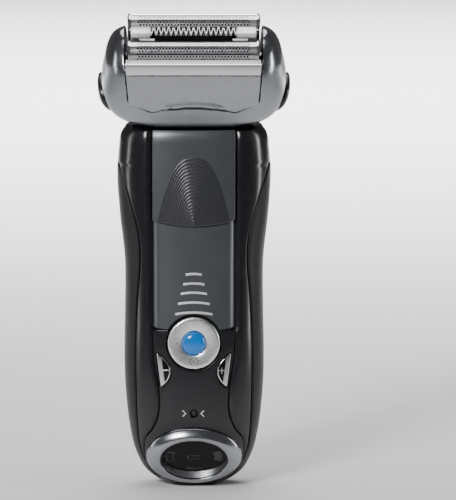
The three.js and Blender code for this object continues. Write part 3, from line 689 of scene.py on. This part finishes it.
def make_front_panel():
    half = STRIP_HALF - GAP
    reach = math.degrees(math.asin((CONTROL_TOP - BUTTON_Z) / 10.1))
    left = [(-9.2, CONTROL_TOP), (-half, 57.5), (-half, 101)]
    corners = rounded(left + flip(left), 0.8)
    loop = corners[6:-6] + arc_points((0, BUTTON_Z), 10.1, reach, 180 - reach)

    def face(x, z):
        ledge = SLIDER_DEPTH - 0.22 * (1 - step(12.3, 13.1, abs(x)))
        return front_y(x, z, ledge + 0.8 * max(abs(x) - 12.8, 0) / 1.6)

    def bar_face(x, z):
        return front_y(x, z, SLIDER_DEPTH - 0.42)

    piece("centre_panel", plate([loop], face, 0.6, 0.2, 0.9), LACQUER, "handle", "satin_grey", "front_panel")
    for k, (z, length) in enumerate(BARS):
        half, rise = length / 2, 0.05 * length
        middle = [(x, z + rise * (1 - (x / half) ** 2)) for x in spread(-half, half, 15)]
        loop = [(x, v - 0.4) for x, v in middle] + [(x, v + 0.4) for x, v in reversed(middle)]
        bar = plate([loop], bar_face, 0.5, 0.16, 0.35)
        piece(f"bar_{k + 1}", bar, SILVER, "handle", "bright_chrome", f"accent_bar_{k + 1}")


# The thumb zone of the lock slider: nested arches that shrink to a point at the bottom.
ARCH = {"foot": 93.0, "height": 23.8, "half": 12.9, "ridges": 20}
SLIDER_FACE = -0.3  # the slider stands this far out of the handle's skin


def make_slider_shadow(arc):
    """A painted shadow: a thin near-black strip on the centre panel, right under the slider's curved edge."""
    loop = [(x, z - 0.45) for x, z in arc] + [(x, z + 0.3) for x, z in reversed(arc)]
    seam = plate([loop], lambda x, z: front_y(x, z, SLIDER_DEPTH - 0.26), 0.1, 0.02, 0.8)
    piece("slider_shadow", seam, SHADE_BLACK, "handle", "matte_black")


def make_thumb_ridges():
    """Fine ridges on the slider, each along one of the nested arches; they fade towards the sides."""
    height, half, blunt = ARCH["height"], ARCH["half"], 2.7
    top, bottom = [], []
    for s in spread(0.03, 1, ARCH["ridges"] * 8 + 1):
        reach = half * s
        for _ in range(8):
            reach = half * s * max(1 - (0.2 + 2 * (reach / 14.4) ** 2) / (height * s), 0.01) ** (1 / blunt)
        row = [(x, ARCH["foot"] + height * s * (1 - abs(x / (half * s)) ** blunt))
               for x in spread(-reach, reach, 61)]
        wave = 0.5 - 0.5 * math.cos(2 * math.pi * ARCH["ridges"] * s)
        rises = [0.02 + 0.22 * wave * (1 - 0.75 * step(0.15, 0.7, abs(x) / reach)) for x, _ in row]
        top.append([(x, front_y(x, z, SLIDER_FACE - rise), z) for (x, z), rise in zip(row, rises)])
        bottom.append([(x, front_y(x, z, 0), z) for x, z in row])
    across = len(top[0])
    faces = [[i * across + j, i * across + j + 1, (i + 1) * across + j + 1, (i + 1) * across + j]
             for i in range(len(top) - 1) for j in range(across - 1)]
    ridges = thicken(sum(top, []), sum(bottom, []), faces)
    # The ridges take the darker grey, painted shade on the ridged zone.
    piece("thumb_ridges", ridges, RIDGE_SHADE_GREY, "lock_slider", "satin_grey", sharp=50)


def make_lock_slider():
    half = STRIP_HALF - GAP
    middle, ends = SLIDER_LOW
    arc = [(x, middle + (ends - middle) * (x / half) ** 2) for x in spread(-half, half, 41)]
    loop = arc + [(half, STRIP_TOP), (-half, STRIP_TOP)]
    slider = plate([loop], lambda x, z: front_y(x, z, SLIDER_FACE), 0.85, 0.22, 1)
    piece("lock_slide_panel", slider, LACQUER, "lock_slider", "satin_grey", "lock_slider")
    make_slider_shadow(arc[3:-3])
    make_thumb_ridges()


# ---------- the control panel, its button and its keys
KEY = {"low": 36.9, "high": 48.5, "low_x": 11.6, "high_x": 13.1, "bow": 3.7}


def key_edge(t):
    return KEY["low_x"] + (KEY["high_x"] - KEY["low_x"]) * t


def key_loop(grow=0.0):
    """A half-moon: bowed towards the middle, straight outside."""
    low, high = KEY["low"] - grow, KEY["high"] + grow
    bow = [(key_edge(t) - 0.5 - grow - KEY["bow"] * (1 - (2 * t - 1) ** 2), low + (high - low) * t)
           for t in spread(0, 1, 17)]
    return bow[::-1] + [(KEY["low_x"] + grow, low), (KEY["high_x"] + grow, high)]


def window_loop(bar=1.6):
    """The key's dark window: the half-moon inside its thin border, clear of the bar on its outer side."""
    reach = math.sqrt(1 - (bar + 0.2) / KEY["bow"])
    height = KEY["high"] - KEY["low"]
    ts = spread(0.5 - reach / 2, 0.5 + reach / 2, 17)
    bow = [(key_edge(t) - KEY["bow"] * (1 - (2 * t - 1) ** 2), KEY["low"] + height * t) for t in ts]
    return bow[::-1] + [(key_edge(t) - bar, KEY["low"] + height * t) for t in (ts[0], ts[-1])]


def make_control_panel():
    reach = math.degrees(math.asin((CONTROL_TOP - BUTTON_Z) / 9.7))
    side = [(control_edge(z) - 0.02, z) for z in spread(7, CONTROL_TOP, 40)]
    loop = side + arc_points((0, BUTTON_Z), 9.7, reach, -180 - reach, 40) + flip(side)
    loops = [loop, key_loop(GAP), flip(key_loop(GAP)), circle(1.45, 0, RESET_Z, 24)]

    def face(x, z):
        return front_y(x, z, 0.12)

    piece("control_plate", plate(loops, face, 0.9, 0.16, 1.0), GLOSS, "handle", "gloss_black", "control_panel")

    def print_face(x, z):
        return front_y(x, z, 0.12) - 0.05

    for k, (x, way) in enumerate([(-3.35, 1), (2.95, -1)]):
        # Six corners: the arms' outer ends and the tip, each on both sides of the stroke's middle line.
        corners = [(-0.55, -1, 1), (-0.55, 1, 1), (0.55, 1, 0), (-0.55, 1, -1), (-0.55, -1, -1), (0.55, -1, 0)]
        mark = [(x + way * (u + 0.22 * edge), RESET_Z + 1.05 * v) for u, edge, v in corners]
        piece(f"arrow_{k + 1}", plate([mark], print_face, 0.08, 0.02, 0.5), PRINT, "handle", "satin_silver")


def button_place(p):
    return handle_place((p[0], BUTTON_Y - p[2], p[1] + BUTTON_Z))


def make_power_button():
    profile = [(0, -3.3), (3, -3.3), (3, 0), (9.1, 0), (9.1, 2.45), (9.02, 2.7), (8.8, 2.92), (8.45, 3.02),
               (7.9, 3.03), (6.2, 2.9), (4.75, 2.72), (4.4, 2.6), (4.25, 2.4), (4.2, 1.4), (0, 1.4)]
    piece("thumb_button", lathe(profile, 96), BRUSHED, "power_button", "satin_silver", "power_button",
          place=button_place)
    dome = [(0, 1.45), (4.05, 1.45), (4.05, 2.5), (3.92, 2.85), (3.5, 3.22), (2.8, 3.56), (1.9, 3.8),
            (1, 3.93), (0, 3.97)]
    piece("button_lens", lathe(dome), BLUE, "power_button", "blue_lens", "power_lens", place=button_place)
    wall = ((1.3, 2.7), (1.3, 3.0), (1.5, 3.0), (1.5, 2.7))
    ring = [[(r * c, r * s - 6.35, h) for r, h in wall] for c, s in circle(1, sides=40)]
    stroke = box(-0.1, 0.1, -7.0, -5.7, 2.7, 3.0)
    symbol = merge(loft(ring, closed=False), stroke)
    piece("power_symbol", symbol, FUNNEL, "power_button", "satin_silver", place=button_place)


def make_keys():
    def base(x, z):
        return front_y(x, z, -0.3)

    def dome(x, z):
        t = (z - KEY["low"]) / (KEY["high"] - KEY["low"])
        return base(x, z) - 0.1 - 0.25 * max(0, 1 - (2 * t - 1) ** 2)

    def line(x, z):
        return dome(x, z) - 0.08

    mid = (KEY["low"] + KEY["high"]) / 2
    for side, body in ((1, "plus"), (-1, "minus")):
        def side_place(p, side=side):
            return handle_place((side * p[0], p[1], p[2]))

        moving = f"{body}_button"
        key = plate([key_loop(-0.05)], base, 2.6, 0.25, 0.6)
        piece(f"{body}_key", key, CHROME, moving, "satin_silver", moving, place=side_place)
        window = plate([window_loop()], dome, 0.5, 0.12, 0.5)
        piece(f"{body}_window", window, GLASS, moving, "display_black", place=side_place)
        bars = [[(8.5, mid - 0.16), (10.75, mid - 0.16), (10.75, mid + 0.16), (8.5, mid + 0.16)]]
        if side > 0:
            bars.append([(9.6, mid - 1.1), (9.92, mid - 1.1), (9.92, mid + 1.1), (9.6, mid + 1.1)])
        sign = merge(*(plate([b], line, 0.3, 0.04, 0.4) for b in bars))
        piece(f"{body}_sign", sign, CHROME, moving, "satin_silver", place=side_place)
    tip = front_reach(RESET_Z) - 0.8
    pin = [(0, 13.4), (1.1, 13.4), (1.1, tip - 0.2), (0.95, tip - 0.05), (0.7, tip), (0, tip - 0.12)]
    piece("reset_pin", lathe(pin, 32), MATT, "reset_button", "matte_black", "reset_button",
          place=lambda p: handle_place((p[0], -p[2], p[1] + RESET_Z)))


# ---------- display on the chin
RING = {"a": 16.7, "b": 11.5, "rim_a": 12.1, "rim_b": 8.4, "lens_a": 11.3, "lens_b": 6.4, "rise": 2.7}


def level_ellipse(a, b, h):
    return [(x, y, h) for x, y in ellipse(a, b, sides=96)]


def make_display():
    """The bright ring, the grey funnel inside it, and the dark window at the bottom with its marks."""
    a, b, top, sunk = RING["a"], RING["b"], 0.1 + RING["rise"], -1.6
    rim_a, rim_b = RING["rim_a"], RING["rim_b"]
    rings = [level_ellipse(a, b, h) for h in (sunk, -0.1)]
    for f in spread(0.02, 0.96, 14):
        height = 0.1 + RING["rise"] * math.sin(f * math.pi / 2) ** 0.9
        rings.append(level_ellipse(a - (a - rim_a) * f, b - (b - rim_b) * f, height))
    for back, drop in round_edge(0.3)[1:]:
        rings.append(level_ellipse(rim_a - 0.3 + back, rim_b - 0.3 + back, top - drop))
    rings.append(level_ellipse(rim_a - 0.3, rim_b - 0.3, sunk))
    piece("display_bezel", loft(rings, closed=False), BEZEL, "handle", "bright_chrome", "display_ring",
          place=chin_place)
    a, b = rim_a - 0.45, rim_b - 0.45
    cone = [level_ellipse(a, b, h) for h in (sunk, 2.1)]
    cone += [level_ellipse(a - 0.4 * f, b - 1.6 * f, 2.2 - 1.9 * f) for f in spread(0.06, 1, 8)]
    cone.append(level_ellipse(a - 0.4, b - 1.6, sunk))
    piece("display_funnel", loft(cone, closed=False), FUNNEL, "handle", "bright_chrome", place=chin_place)
    a, b = RING["lens_a"], RING["lens_b"]
    dome = [level_ellipse(a, b, -1.2)]
    dome += [level_ellipse(a * f, b * f, lens_height(f)) for f in spread(1, 0.04, 12)]
    piece("display_window", loft(dome), GLASS, "handle", "display_black", "display_lens", place=chin_place)
    for k, strokes in enumerate(display_marks()):
        piece(f"display_mark_{k + 1}", merge(*strokes), FAINT, "handle", "satin_silver", place=chin_place)


def lens_height(f):
    """Height of the display window above the chin, from its middle (f = 0) to its rim (f = 1)."""
    return 0.35 + 0.5 * (1 - f * f)


def lens_mark(polygon):
    """A thin flat mark just above the display window, from a polygon in the chin's own plane."""
    def lift(u, v):
        f = math.hypot(u / RING["lens_a"], v / RING["lens_b"])
        return lens_height(min(f, 1)) + 0.04

    verts, faces = plate([polygon], lift, 0.06, 0.01, 0.5, outward=1)
    return [(u, v, h) for u, h, v in verts], faces


def segment(radius0, radius1, a0, a1):
    """A block bent round the window's middle, between two fractions of its size."""
    def rim(f, way):
        turns = [math.radians(a) for a in spread(a0, a1, 9)[::way]]
        return [(RING["lens_a"] * f * math.cos(t), RING["lens_b"] * f * math.sin(t)) for t in turns]

    return rim(radius1, 1) + rim(radius0, -1)


def display_marks():
    """An outlined bar in the middle, and bent blocks at the left, the right and the bottom."""
    strips = [(-2.0, 2.2, 0.62, 0.8), (-2.0, 2.2, -0.8, -0.62), (-2.0, -1.8, -0.8, 0.8),
              (2.0, 2.2, -0.8, 0.8), (-2.5, -2.0, -0.3, 0.3)]
    left = [(0.84, 0.88, 165, 200), (0.64, 0.67, 160, 200), (0.64, 0.88, 154, 162), (0.64, 0.88, 199, 201)]
    low = [(0.72, 0.86, -108, -91), (0.72, 0.76, -89, -72), (0.84, 0.86, -89, -72)]
    marks = [[[(u0, v0), (u1, v0), (u1, v1), (u0, v1)] for u0, u1, v0, v1 in strips]]
    marks += [[segment(*block) for block in blocks] for blocks in (left, [(0.64, 0.88, -18, 26)], low)]
    return [[lens_mark(loop) for loop in loops] for loops in marks]


# ---------- the head's shell
# Half-width, front depth and back depth of the head, each against height above the pivot.
head_width = smooth([
    (-5.6, 24), (-3.2, 28.2), (-0.6, 30.5), (2, 31.6), (6, 32.2), (9, 32.1), (14, 31.2), (19.3, 30),
    (24, 27.8), (25.6, 25.8)])
head_front = smooth([
    (-5.6, 12.8), (-4.6, 14.2), (-3.2, 15.2), (-1.5, 15.7), (0.5, 16.05), (3.4, 16.5), (11, 17), (18, 16.2),
    (22, 13.2), (24.4, 9), (25.6, 5)])
head_back = smooth([
    (-5.6, 12.4), (-1.5, 14.8), (4, 16.5), (11, 17), (18, 16.2), (22, 13.2), (24.4, 9), (25.6, 5)])
HEAD_CORNER = 3.2
OVAL = {"w": 1.2, "a": 8.2, "b": 6.2, "back": 26}  # the release button: height, half-sizes, its inner face


def head_ring(w, sides=160):
    out = []
    for c, s in circle(1, sides=sides):
        depth = head_front(w) if s < 0 else head_back(w)
        out.append((head_width(w) * power(c, 2 / HEAD_CORNER), depth * power(s, 2 / HEAD_CORNER), w))
    return out


def cheek_x(y, w):
    """How far out the head's side is at this depth and height."""
    depth = head_front(w) if y < 0 else head_back(w)
    return head_width(w) * (1 - min(abs(y) / depth, 0.999) ** HEAD_CORNER) ** (1 / HEAD_CORNER)


def arch_w(x):
    """The arched lower edge of the cassette's panels."""
    radius = 57
    return MOUTH_FLOOR + 2.2 - radius + math.sqrt(radius ** 2 - x * x)


def mouth_edge(w, grow=0.0):
    """Half-width of the opening that the cassette sits in."""
    return 22.4 + 1.4 / 21 * (w - MOUTH_FLOOR) + grow


def mouth_cutter():
    bottom = [(x, arch_w(x) - GAP) for x in spread(-14.2, 14.2, 25)]
    right = [(14.7, MOUTH_FLOOR), (mouth_edge(6.9), 6.9), (mouth_edge(32), 32)]
    loop = bottom + right + flip(right)
    return make("cutter", prism(1, loop, -30, 30), place=head_place)


def make_head_shell():
    rows = [head_ring(w) for w in spread(-5.6, 25.6, 60)]
    rounded_top = [[(x * (1 - d / 20), y * (1 - d / 6), 25.6 + 0.5 - b) for x, y, _ in rows[-1]]
                   for b, d in round_edge(0.5)]
    shell = make("head_housing", loft(rows + rounded_top), place=head_place)
    room = make("cutter", box(-21, 21, -12.6, 12.6, -10, 12), place=head_place)
    drum = make("cutter", prism(0, circle(12, sides=96), -19.2, 19.2), place=head_place)
    hole = ellipse(OVAL["a"] + GAP, OVAL["b"] + GAP, 0, OVAL["w"], 72)
    ovals = [make("cutter", prism(0, hole, *reach), place=head_place) for reach in ((24.2, 40), (-40, -24.2))]
    cut(shell, mouth_cutter(), room, drum, *ovals)
    remesh = shell.modifiers.new("even", "REMESH")
    remesh.mode = "VOXEL"
    remesh.voxel_size = 0.42 * MM
    soften = shell.modifiers.new("soften", "SMOOTH")
    soften.factor = 0.5
    soften.iterations = 4
    bake(shell)
    harden(shell, 60)
    finish(shell, POLISHED, "head", "polished_grey", "head_shell")


def make_release(side):
    """The oval release button in one side of the head, with a bright inlay."""
    back, name = OVAL["back"], "right" if side > 0 else "left"

    def rim(f, lift):
        """A ring at this fraction of the button's size, lifted off the cheek."""
        points = ellipse(OVAL["a"] * f, OVAL["b"] * f, 0, OVAL["w"], 96)
        return [(side * (max(cheek_x(y, w), back + 0.3) + lift), y, w) for y, w in points]

    base = [[(side * x, y, w) for y, w in ellipse(OVAL["a"] - d, OVAL["b"] - d, 0, OVAL["w"], 96)]
            for x, d in ((back, 0.5), (back + 0.45, 0))]
    inner = (0.6, 0.4, 0.2, 0.05)
    dome = [rim(1, 0.2), rim(0.985, 0.65), rim(0.95, 1.0), rim(0.9, 1.15), rim(0.84, 1.2), rim(0.82, 1.05)]
    dome += [rim(f, 1.05) for f in inner]
    piece(f"release_{name}_cap", loft(base + dome), GLOSS, f"release_{name}", "satin_silver",
          f"release_button_{name}", place=head_place)
    inlay = [rim(0.8, 0.9), rim(0.8, 1.25), rim(0.77, 1.4)] + [rim(f, 1.4 + 0.25 * (1 - f)) for f in inner]
    piece(f"release_{name}_inlay", loft(inlay), SATIN, f"release_{name}", "satin_silver", place=head_place)


# ---------- the cassette
panel_bulge = smooth([(2.5, 16.45), (7, 16.85), (11.5, 17), (15, 16.88), (19.3, 16.5)])
BROW = {"radius": 12.5, "lean": math.radians(2), "low": 19.35, "top": 23.2, "y": 16.5}


def brow_y(w):
    """Depth of the bright rounded band along the top of the cassette's panels."""
    lean = math.asin(math.sin(BROW["lean"]) + (w - BROW["low"]) / BROW["radius"])
    return BROW["y"] - BROW["radius"] * (math.cos(BROW["lean"]) - math.cos(lean))


def make_cassette_panel(name, way):
    """The front (way -1) or back panel: a satin plate with a thumb rest at its foot, under a bright band."""
    def place(p):
        return head_place((p[0], -way * p[1], p[2]))

    edge = -GAP
    right = [(14.5, arch_w(14.5) + 0.15), (mouth_edge(7.2, edge), 7.2)]
    seam = BROW["low"] - 0.2
    side = right + [(mouth_edge(seam, edge), seam)]
    bottom = [(x, arch_w(x)) for x in spread(-14, 14, 25)]

    def face(x, w):
        top, low = 9.4 - 2.6 * (x / 12.5) ** 2, arch_w(x) + 0.5
        slope = step(0, 1, 1.25 * (top - w) / max(top - low, 0.5))
        return -panel_bulge(w) - 0.75 * step(0, 3.6, 12.6 - abs(x)) * slope * step(0, 0.5, w - low)

    skin = plate([bottom + side + flip(side)], face, 1.3, 0.3, 0.55)
    piece(f"{name}_skin", skin, SATIN, "cassette", "satin_silver", f"cassette_{name}_panel",
          place=place, sharp=50)
    # The brow is the panel's own rounded top; its bright chrome, brighter than the satin face below, is a
    # painted highlight, on top of the light that its curve really catches.
    top = [(mouth_edge(w, edge), w) for w in (BROW["low"], BROW["top"])]
    brow = plate([top + flip(top)], lambda x, w: -brow_y(w), 0.9, 0.18, 0.5)
    piece(f"{name}_brow", brow, CHROME, "cassette", "satin_silver", place=place)


# ---------- foils and combs
FOIL = {"half": 21.8, "open": 19.7, "pitch": 1.1, "row": 0.93, "skin": 0.14}
HOLE_RADIUS = 0.36
SLOT_ANGLES = (-64.5, -24, 24, 64.5)  # degrees round the foil of its rows of long slots


def foil_point(x, arc, depth):
    """A point of the foil: how far along it, how far round from its top, and how deep below its face."""
    a, r = arc / FOIL_RADIUS, FOIL_RADIUS - depth
    return (x, r * math.sin(a), FOIL_CENTRE + r * math.cos(a))


def foil_cell(x0, x1, s0, s1, slot):
    """One cell of the foil: six quads between its border and its six-sided opening."""
    xm, sm = (x0 + x1) / 2, (s0 + s1) / 2
    border = [(x0, s0), (xm, s0), (x1, s0), (x1, s1), (xm, s1), (x0, s1)]
    if slot:
        a, b = (x1 - x0) / 2 - 0.05, 0.17
        hole = [(xm + u * a, sm + v * b) for u, v in ((-1, -1), (0, -1), (1, -1), (1, 1), (0, 1), (-1, 1))]
    else:
        turns = [math.radians(t) for t in (210, 270, 330, 30, 90, 150)]
        hole = [(xm + HOLE_RADIUS * math.cos(t), sm + HOLE_RADIUS * math.sin(t)) for t in turns]
    return [[border[i - 1], border[i], hole[i], hole[i - 1]] for i in range(6)]


def foil_mesh():
    """A sheet bent over the top of a cylinder, with real openings, and plain strips at its ends."""
    end, edge = FOIL["half"], FOIL["open"]
    reach = math.radians(96) * FOIL_RADIUS
    rows = round(2 * reach / FOIL["row"])
    columns = round(2 * edge / FOIL["pitch"])
    half_cell = edge / columns
    quads = []
    for r in range(rows):
        s0, s1 = -reach + 2 * reach * r / rows, -reach + 2 * reach * (r + 1) / rows
        angle = math.degrees((s0 + s1) / 2 / FOIL_RADIUS)
        slot = any(abs(angle - a) < 90 * FOIL["row"] / FOIL_RADIUS / math.pi for a in SLOT_ANGLES)
        odd = r % 2
        for c in range(columns - odd):
            x0 = -edge + (2 * c + odd) * half_cell
            quads += foil_cell(x0, x0 + 2 * half_cell, s0, s1, slot)
        plain = [(-end, -edge), (edge, end)]
        if odd:
            plain += [(-edge, half_cell - edge), (edge - half_cell, edge)]
        quads += [[(x0, s0), (x1, s0), (x1, s1), (x0, s1)] for x0, x1 in plain]
    known = {}
    faces = [[known.setdefault((round(x, 6), round(arc, 6)), len(known)) for x, arc in quad] for quad in quads]
    top, bottom = ([foil_point(x, arc, depth) for x, arc in known] for depth in (0, FOIL["skin"]))
    return thicken(top, bottom, faces)


def make_foil(name, y):
    def place(p):
        return head_place((p[0], p[1] + y, p[2]))

    body, half = f"{name}_foil", FOIL["half"]
    piece(f"{name}_mesh_foil", foil_mesh(), STEEL, body, "blade_steel", body, place=place, sharp=60)
    # The black lines along the rows of slots are painted shade, for the dark seen through the slots.
    lines = []
    for degrees in SLOT_ANGLES:
        middle = math.radians(degrees) * FOIL_RADIUS
        corners = [(-0.13, -0.04), (0.13, -0.04), (0.13, 0.05), (-0.13, 0.05)]
        lines.append(loft([[foil_point(x, middle + u, depth) for u, depth in corners] for x in (-half, half)]))
    piece(f"{name}_foil_lines", merge(*lines), SHADE_BLACK, body, "matte_black", place=place)
    ends = (("arch", 21.85, 22.45, 4.35, CHROME, "bright_chrome"),
            ("end", 22.45, 22.75, 4.5, MATT, "matte_black"))
    low = FOIL_CENTRE - 5.6
    for side, way in ((-1, "left"), (1, "right")):
        for kind, x0, x1, r, look, slot in ends:
            loop = arc_points((0, FOIL_CENTRE), r, 180, 0, 33) + [(r, low), (-r, low)]
            cap = prism(0, loop, side * x0, side * x1)
            piece(f"{name}_foil_{kind}_{way}", cap, look, body, slot, place=place)


def make_lip(name, y):
    """The grey ledge that closes the gap between a foil and the cassette's panel."""
    way = math.copysign(1, y)

    def place(p):
        return head_place((p[0], way * p[1], p[2]))

    profile = [(12.35, 22.2), (12.35, 23.05), (12.5, 23.2), (14.4, 23.15), (14.55, 23), (14.55, 22.2)]
    piece(f"{name}_foil_lip", prism(0, profile, -23.2, 23.2), SILVER, "cassette", "satin_silver", place=place)


def comb_ribbon(half_thick, w):
    """One level of the comb's wavy ribbon, as a ring of points; every other tooth is short."""
    half, waves = 15.5, 18
    front, rear = [], []
    for x in spread(-half, half, waves * 24 + 1):
        phase = math.pi * waves * (x + half) / half
        wave = math.tanh(1.2 * math.cos(phase)) / math.tanh(1.2) * 1.75
        if wave > 0:
            wave *= 0.86 + 0.14 * math.cos(phase / 2)
        thick = half_thick * (1 + 2.4 * math.sin(phase) ** 2)
        front.append((x, wave - thick, w))
        rear.append((x, wave + thick, w))
    return front + rear[::-1]


def make_middle_comb():
    """A bright wavy ribbon between two plain ends, on a rail."""
    half, top = FOIL["half"], COMB_TOP
    parts = [loft([comb_ribbon(0.26, top - 0.9), comb_ribbon(0.26, top - 0.12), comb_ribbon(0.2, top)])]
    for side in (-1, 1):
        corners = ((14.9, -2.1), (half, -2.1), (half, 2.1), (14.9, 2.1))
        outline = rounded([(side * x, y) for x, y in corners], 0.5)
        if side < 0:
            outline.reverse()
        heights = [(0, top - 1.9), (0, top - 0.25), (-0.08, top - 0.08), (-0.25, top)]
        parts.append(loft([[(x, y, w) for x, y in offset(outline, -grow)] for grow, w in heights]))
        parts.append(box(*sorted((side * (half - 3), side * half)), -0.5, 0.5, top - 4.6, top - 1.8))
    parts.append(box(-half, half, -0.5, 0.5, top - 4.6, top - 3.9))
    piece("zigzag_comb", merge(*parts), SILVER, "middle_comb", "bright_chrome", "middle_comb",
          place=head_place, sharp=50)


# ---------- neck and long-hair trimmer
def make_neck():
    """A drum about the pivot, open towards the head, on a stem that stands in the handle."""
    radius, reach = 11.4, 18.4
    roll = round_edge(0.6)
    profile = [(b - reach, radius - d) for b, d in reversed(roll)] + [(reach - b, radius - d) for b, d in roll]
    rings = [[(x, r * math.cos(a), min(r * math.sin(a), -0.2)) for a in spread(-math.pi, 0, 73)]
             for x, r in profile]
    neck = make("neck_drum", loft(rings), place=head_place)
    cut(neck, make("cutter", prism(0, circle(10, sides=72), -16.4, 16.4), place=head_place))
    y, z = PIVOT[1], PIVOT[2]
    parts = [box(-14.95, 14.95, -4.55, 5.95, 112.5, z - 10.6)]
    for side in (-1, 1):
        x0, x1 = sorted((side * 16.42, side * 18.35))
        ear = arc_points((y, z), 4, 0, 180, 17) + [(y - 4, z - 6), (y + 4, z - 6)]
        parts.append(prism(0, ear, x0, x1))
    stem = make("neck_stem", merge(*parts))
    cut(stem, make("cutter", prism(0, circle(1.6, y, z, 24), -40, 40)))
    finish(neck, MATT, "handle", "matte_black", "neck_yoke")
    finish(stem, MATT, "handle", "matte_black")


def make_trimmer_slide():
    half, low, high, face_y = 12.5, 88, 118, 13.2
    loop = rounded([(-half, low), (half, low), (half, high), (-half, high)], 1.4)

    def face(x, z):
        y = face_y - 0.45 * (x / half) ** 2
        for rib in (94, 96.5, 99, 101.5):
            y += 1.1 * step(0, 0.35, 0.55 - abs(z - rib - 0.5)) * step(0, 0.6, 6 - abs(x))
        return y

    slide = make("trimmer_slider", plate([loop], face, 3.0, 0.5, 0.35, outward=1), sharp=50)
    finish(slide, GLOSS, "trimmer", "gloss_black", "trimmer_slide")
    cut(slide, make("cutter", box(-11.2, 11.2, 8, 12.2, 108, 130)))


# ---------- everything together
def make_shaver():
    make_housings()
    make_grip("grip_on_right", False)
    make_grip("grip_on_left", True)
    make_front_panel()
    make_lock_slider()
    make_control_panel()
    make_power_button()
    make_keys()
    make_display()
    make_head_shell()
    for side in (1, -1):
        make_release(side)
    make_cassette_panel("front", -1)
    make_cassette_panel("back", 1)
    for name, y in (("front", -FOIL_PITCH / 2), ("back", FOIL_PITCH / 2)):
        make_foil(name, y)
        make_lip(name, y)
    make_middle_comb()
    make_neck()
    make_trimmer_slide()


def make_floor():
    size = 6
    mesh = bpy.data.meshes.new("studio_floor")
    corners = [(-size, -size, 0), (size, -size, 0), (size, size, 0), (-size, size, 0)]
    mesh.from_pydata(corners, [], [[0, 1, 2, 3]])
    mesh.materials.append(FLOOR)
    add_object("studio_floor", mesh)


def aim(obj, target):
    obj.rotation_euler = (Vector(target) - obj.location).to_track_quat("-Z", "Y").to_euler()


def softbox(name, spot, target, width, height, energy, degrees):
    """A rectangular light aimed at a target; degrees narrows its beam."""
    light = bpy.data.lights.new(name, "AREA")
    light.shape = "RECTANGLE"
    light.size, light.size_y = width, height
    light.energy = energy
    light.spread = math.radians(degrees)
    obj = add_object(name, light)
    obj.location = spot
    aim(obj, target)


def make_lights():
    world = bpy.data.worlds.new("studio")
    world.use_nodes = True
    sky = world.node_tree.nodes["Background"].inputs
    sky["Color"].default_value = (1, 1, 1, 1)
    sky["Strength"].default_value = 0.11
    bpy.context.scene.world = world
    for name, x, energy in (("left_strip", -0.5, 0.08), ("right_strip", 0.5, 0.15)):
        softbox(name, (x, -0.1, 0.14), (0, 0, 0.09), 0.06, 0.5, energy, 60)
    softbox("front_left", (-0.4, -0.8, 0.55), (0, 0, 0.1), 0.3, 0.3, 0.55, 40)
    softbox("overhead", (0, 0.05, 0.9), (0, 0, 0.1), 0.5, 0.6, 0.45, 60)
    softbox("backdrop", (0, 1.5, 1.5), (0, 1.6, 0), 2.6, 1.6, 82, 90)


def make_camera():
    """A camera a little above the shaver's middle, whose picture is 0.175 m high at the shaver."""
    data = bpy.data.cameras.new("camera")
    distance, rise = 1.6, math.radians(7)
    data.sensor_width = 36
    data.lens = data.sensor_width * distance / 0.175
    camera = add_object("camera", data)
    target = Vector((0.0119, 0, 0.0834))
    camera.location = target + distance * Vector((0, -math.cos(rise), math.sin(rise)))
    aim(camera, target)
    bpy.context.scene.camera = camera


dress_cad()
make_shaver()
make_floor()
make_lights()
make_camera()
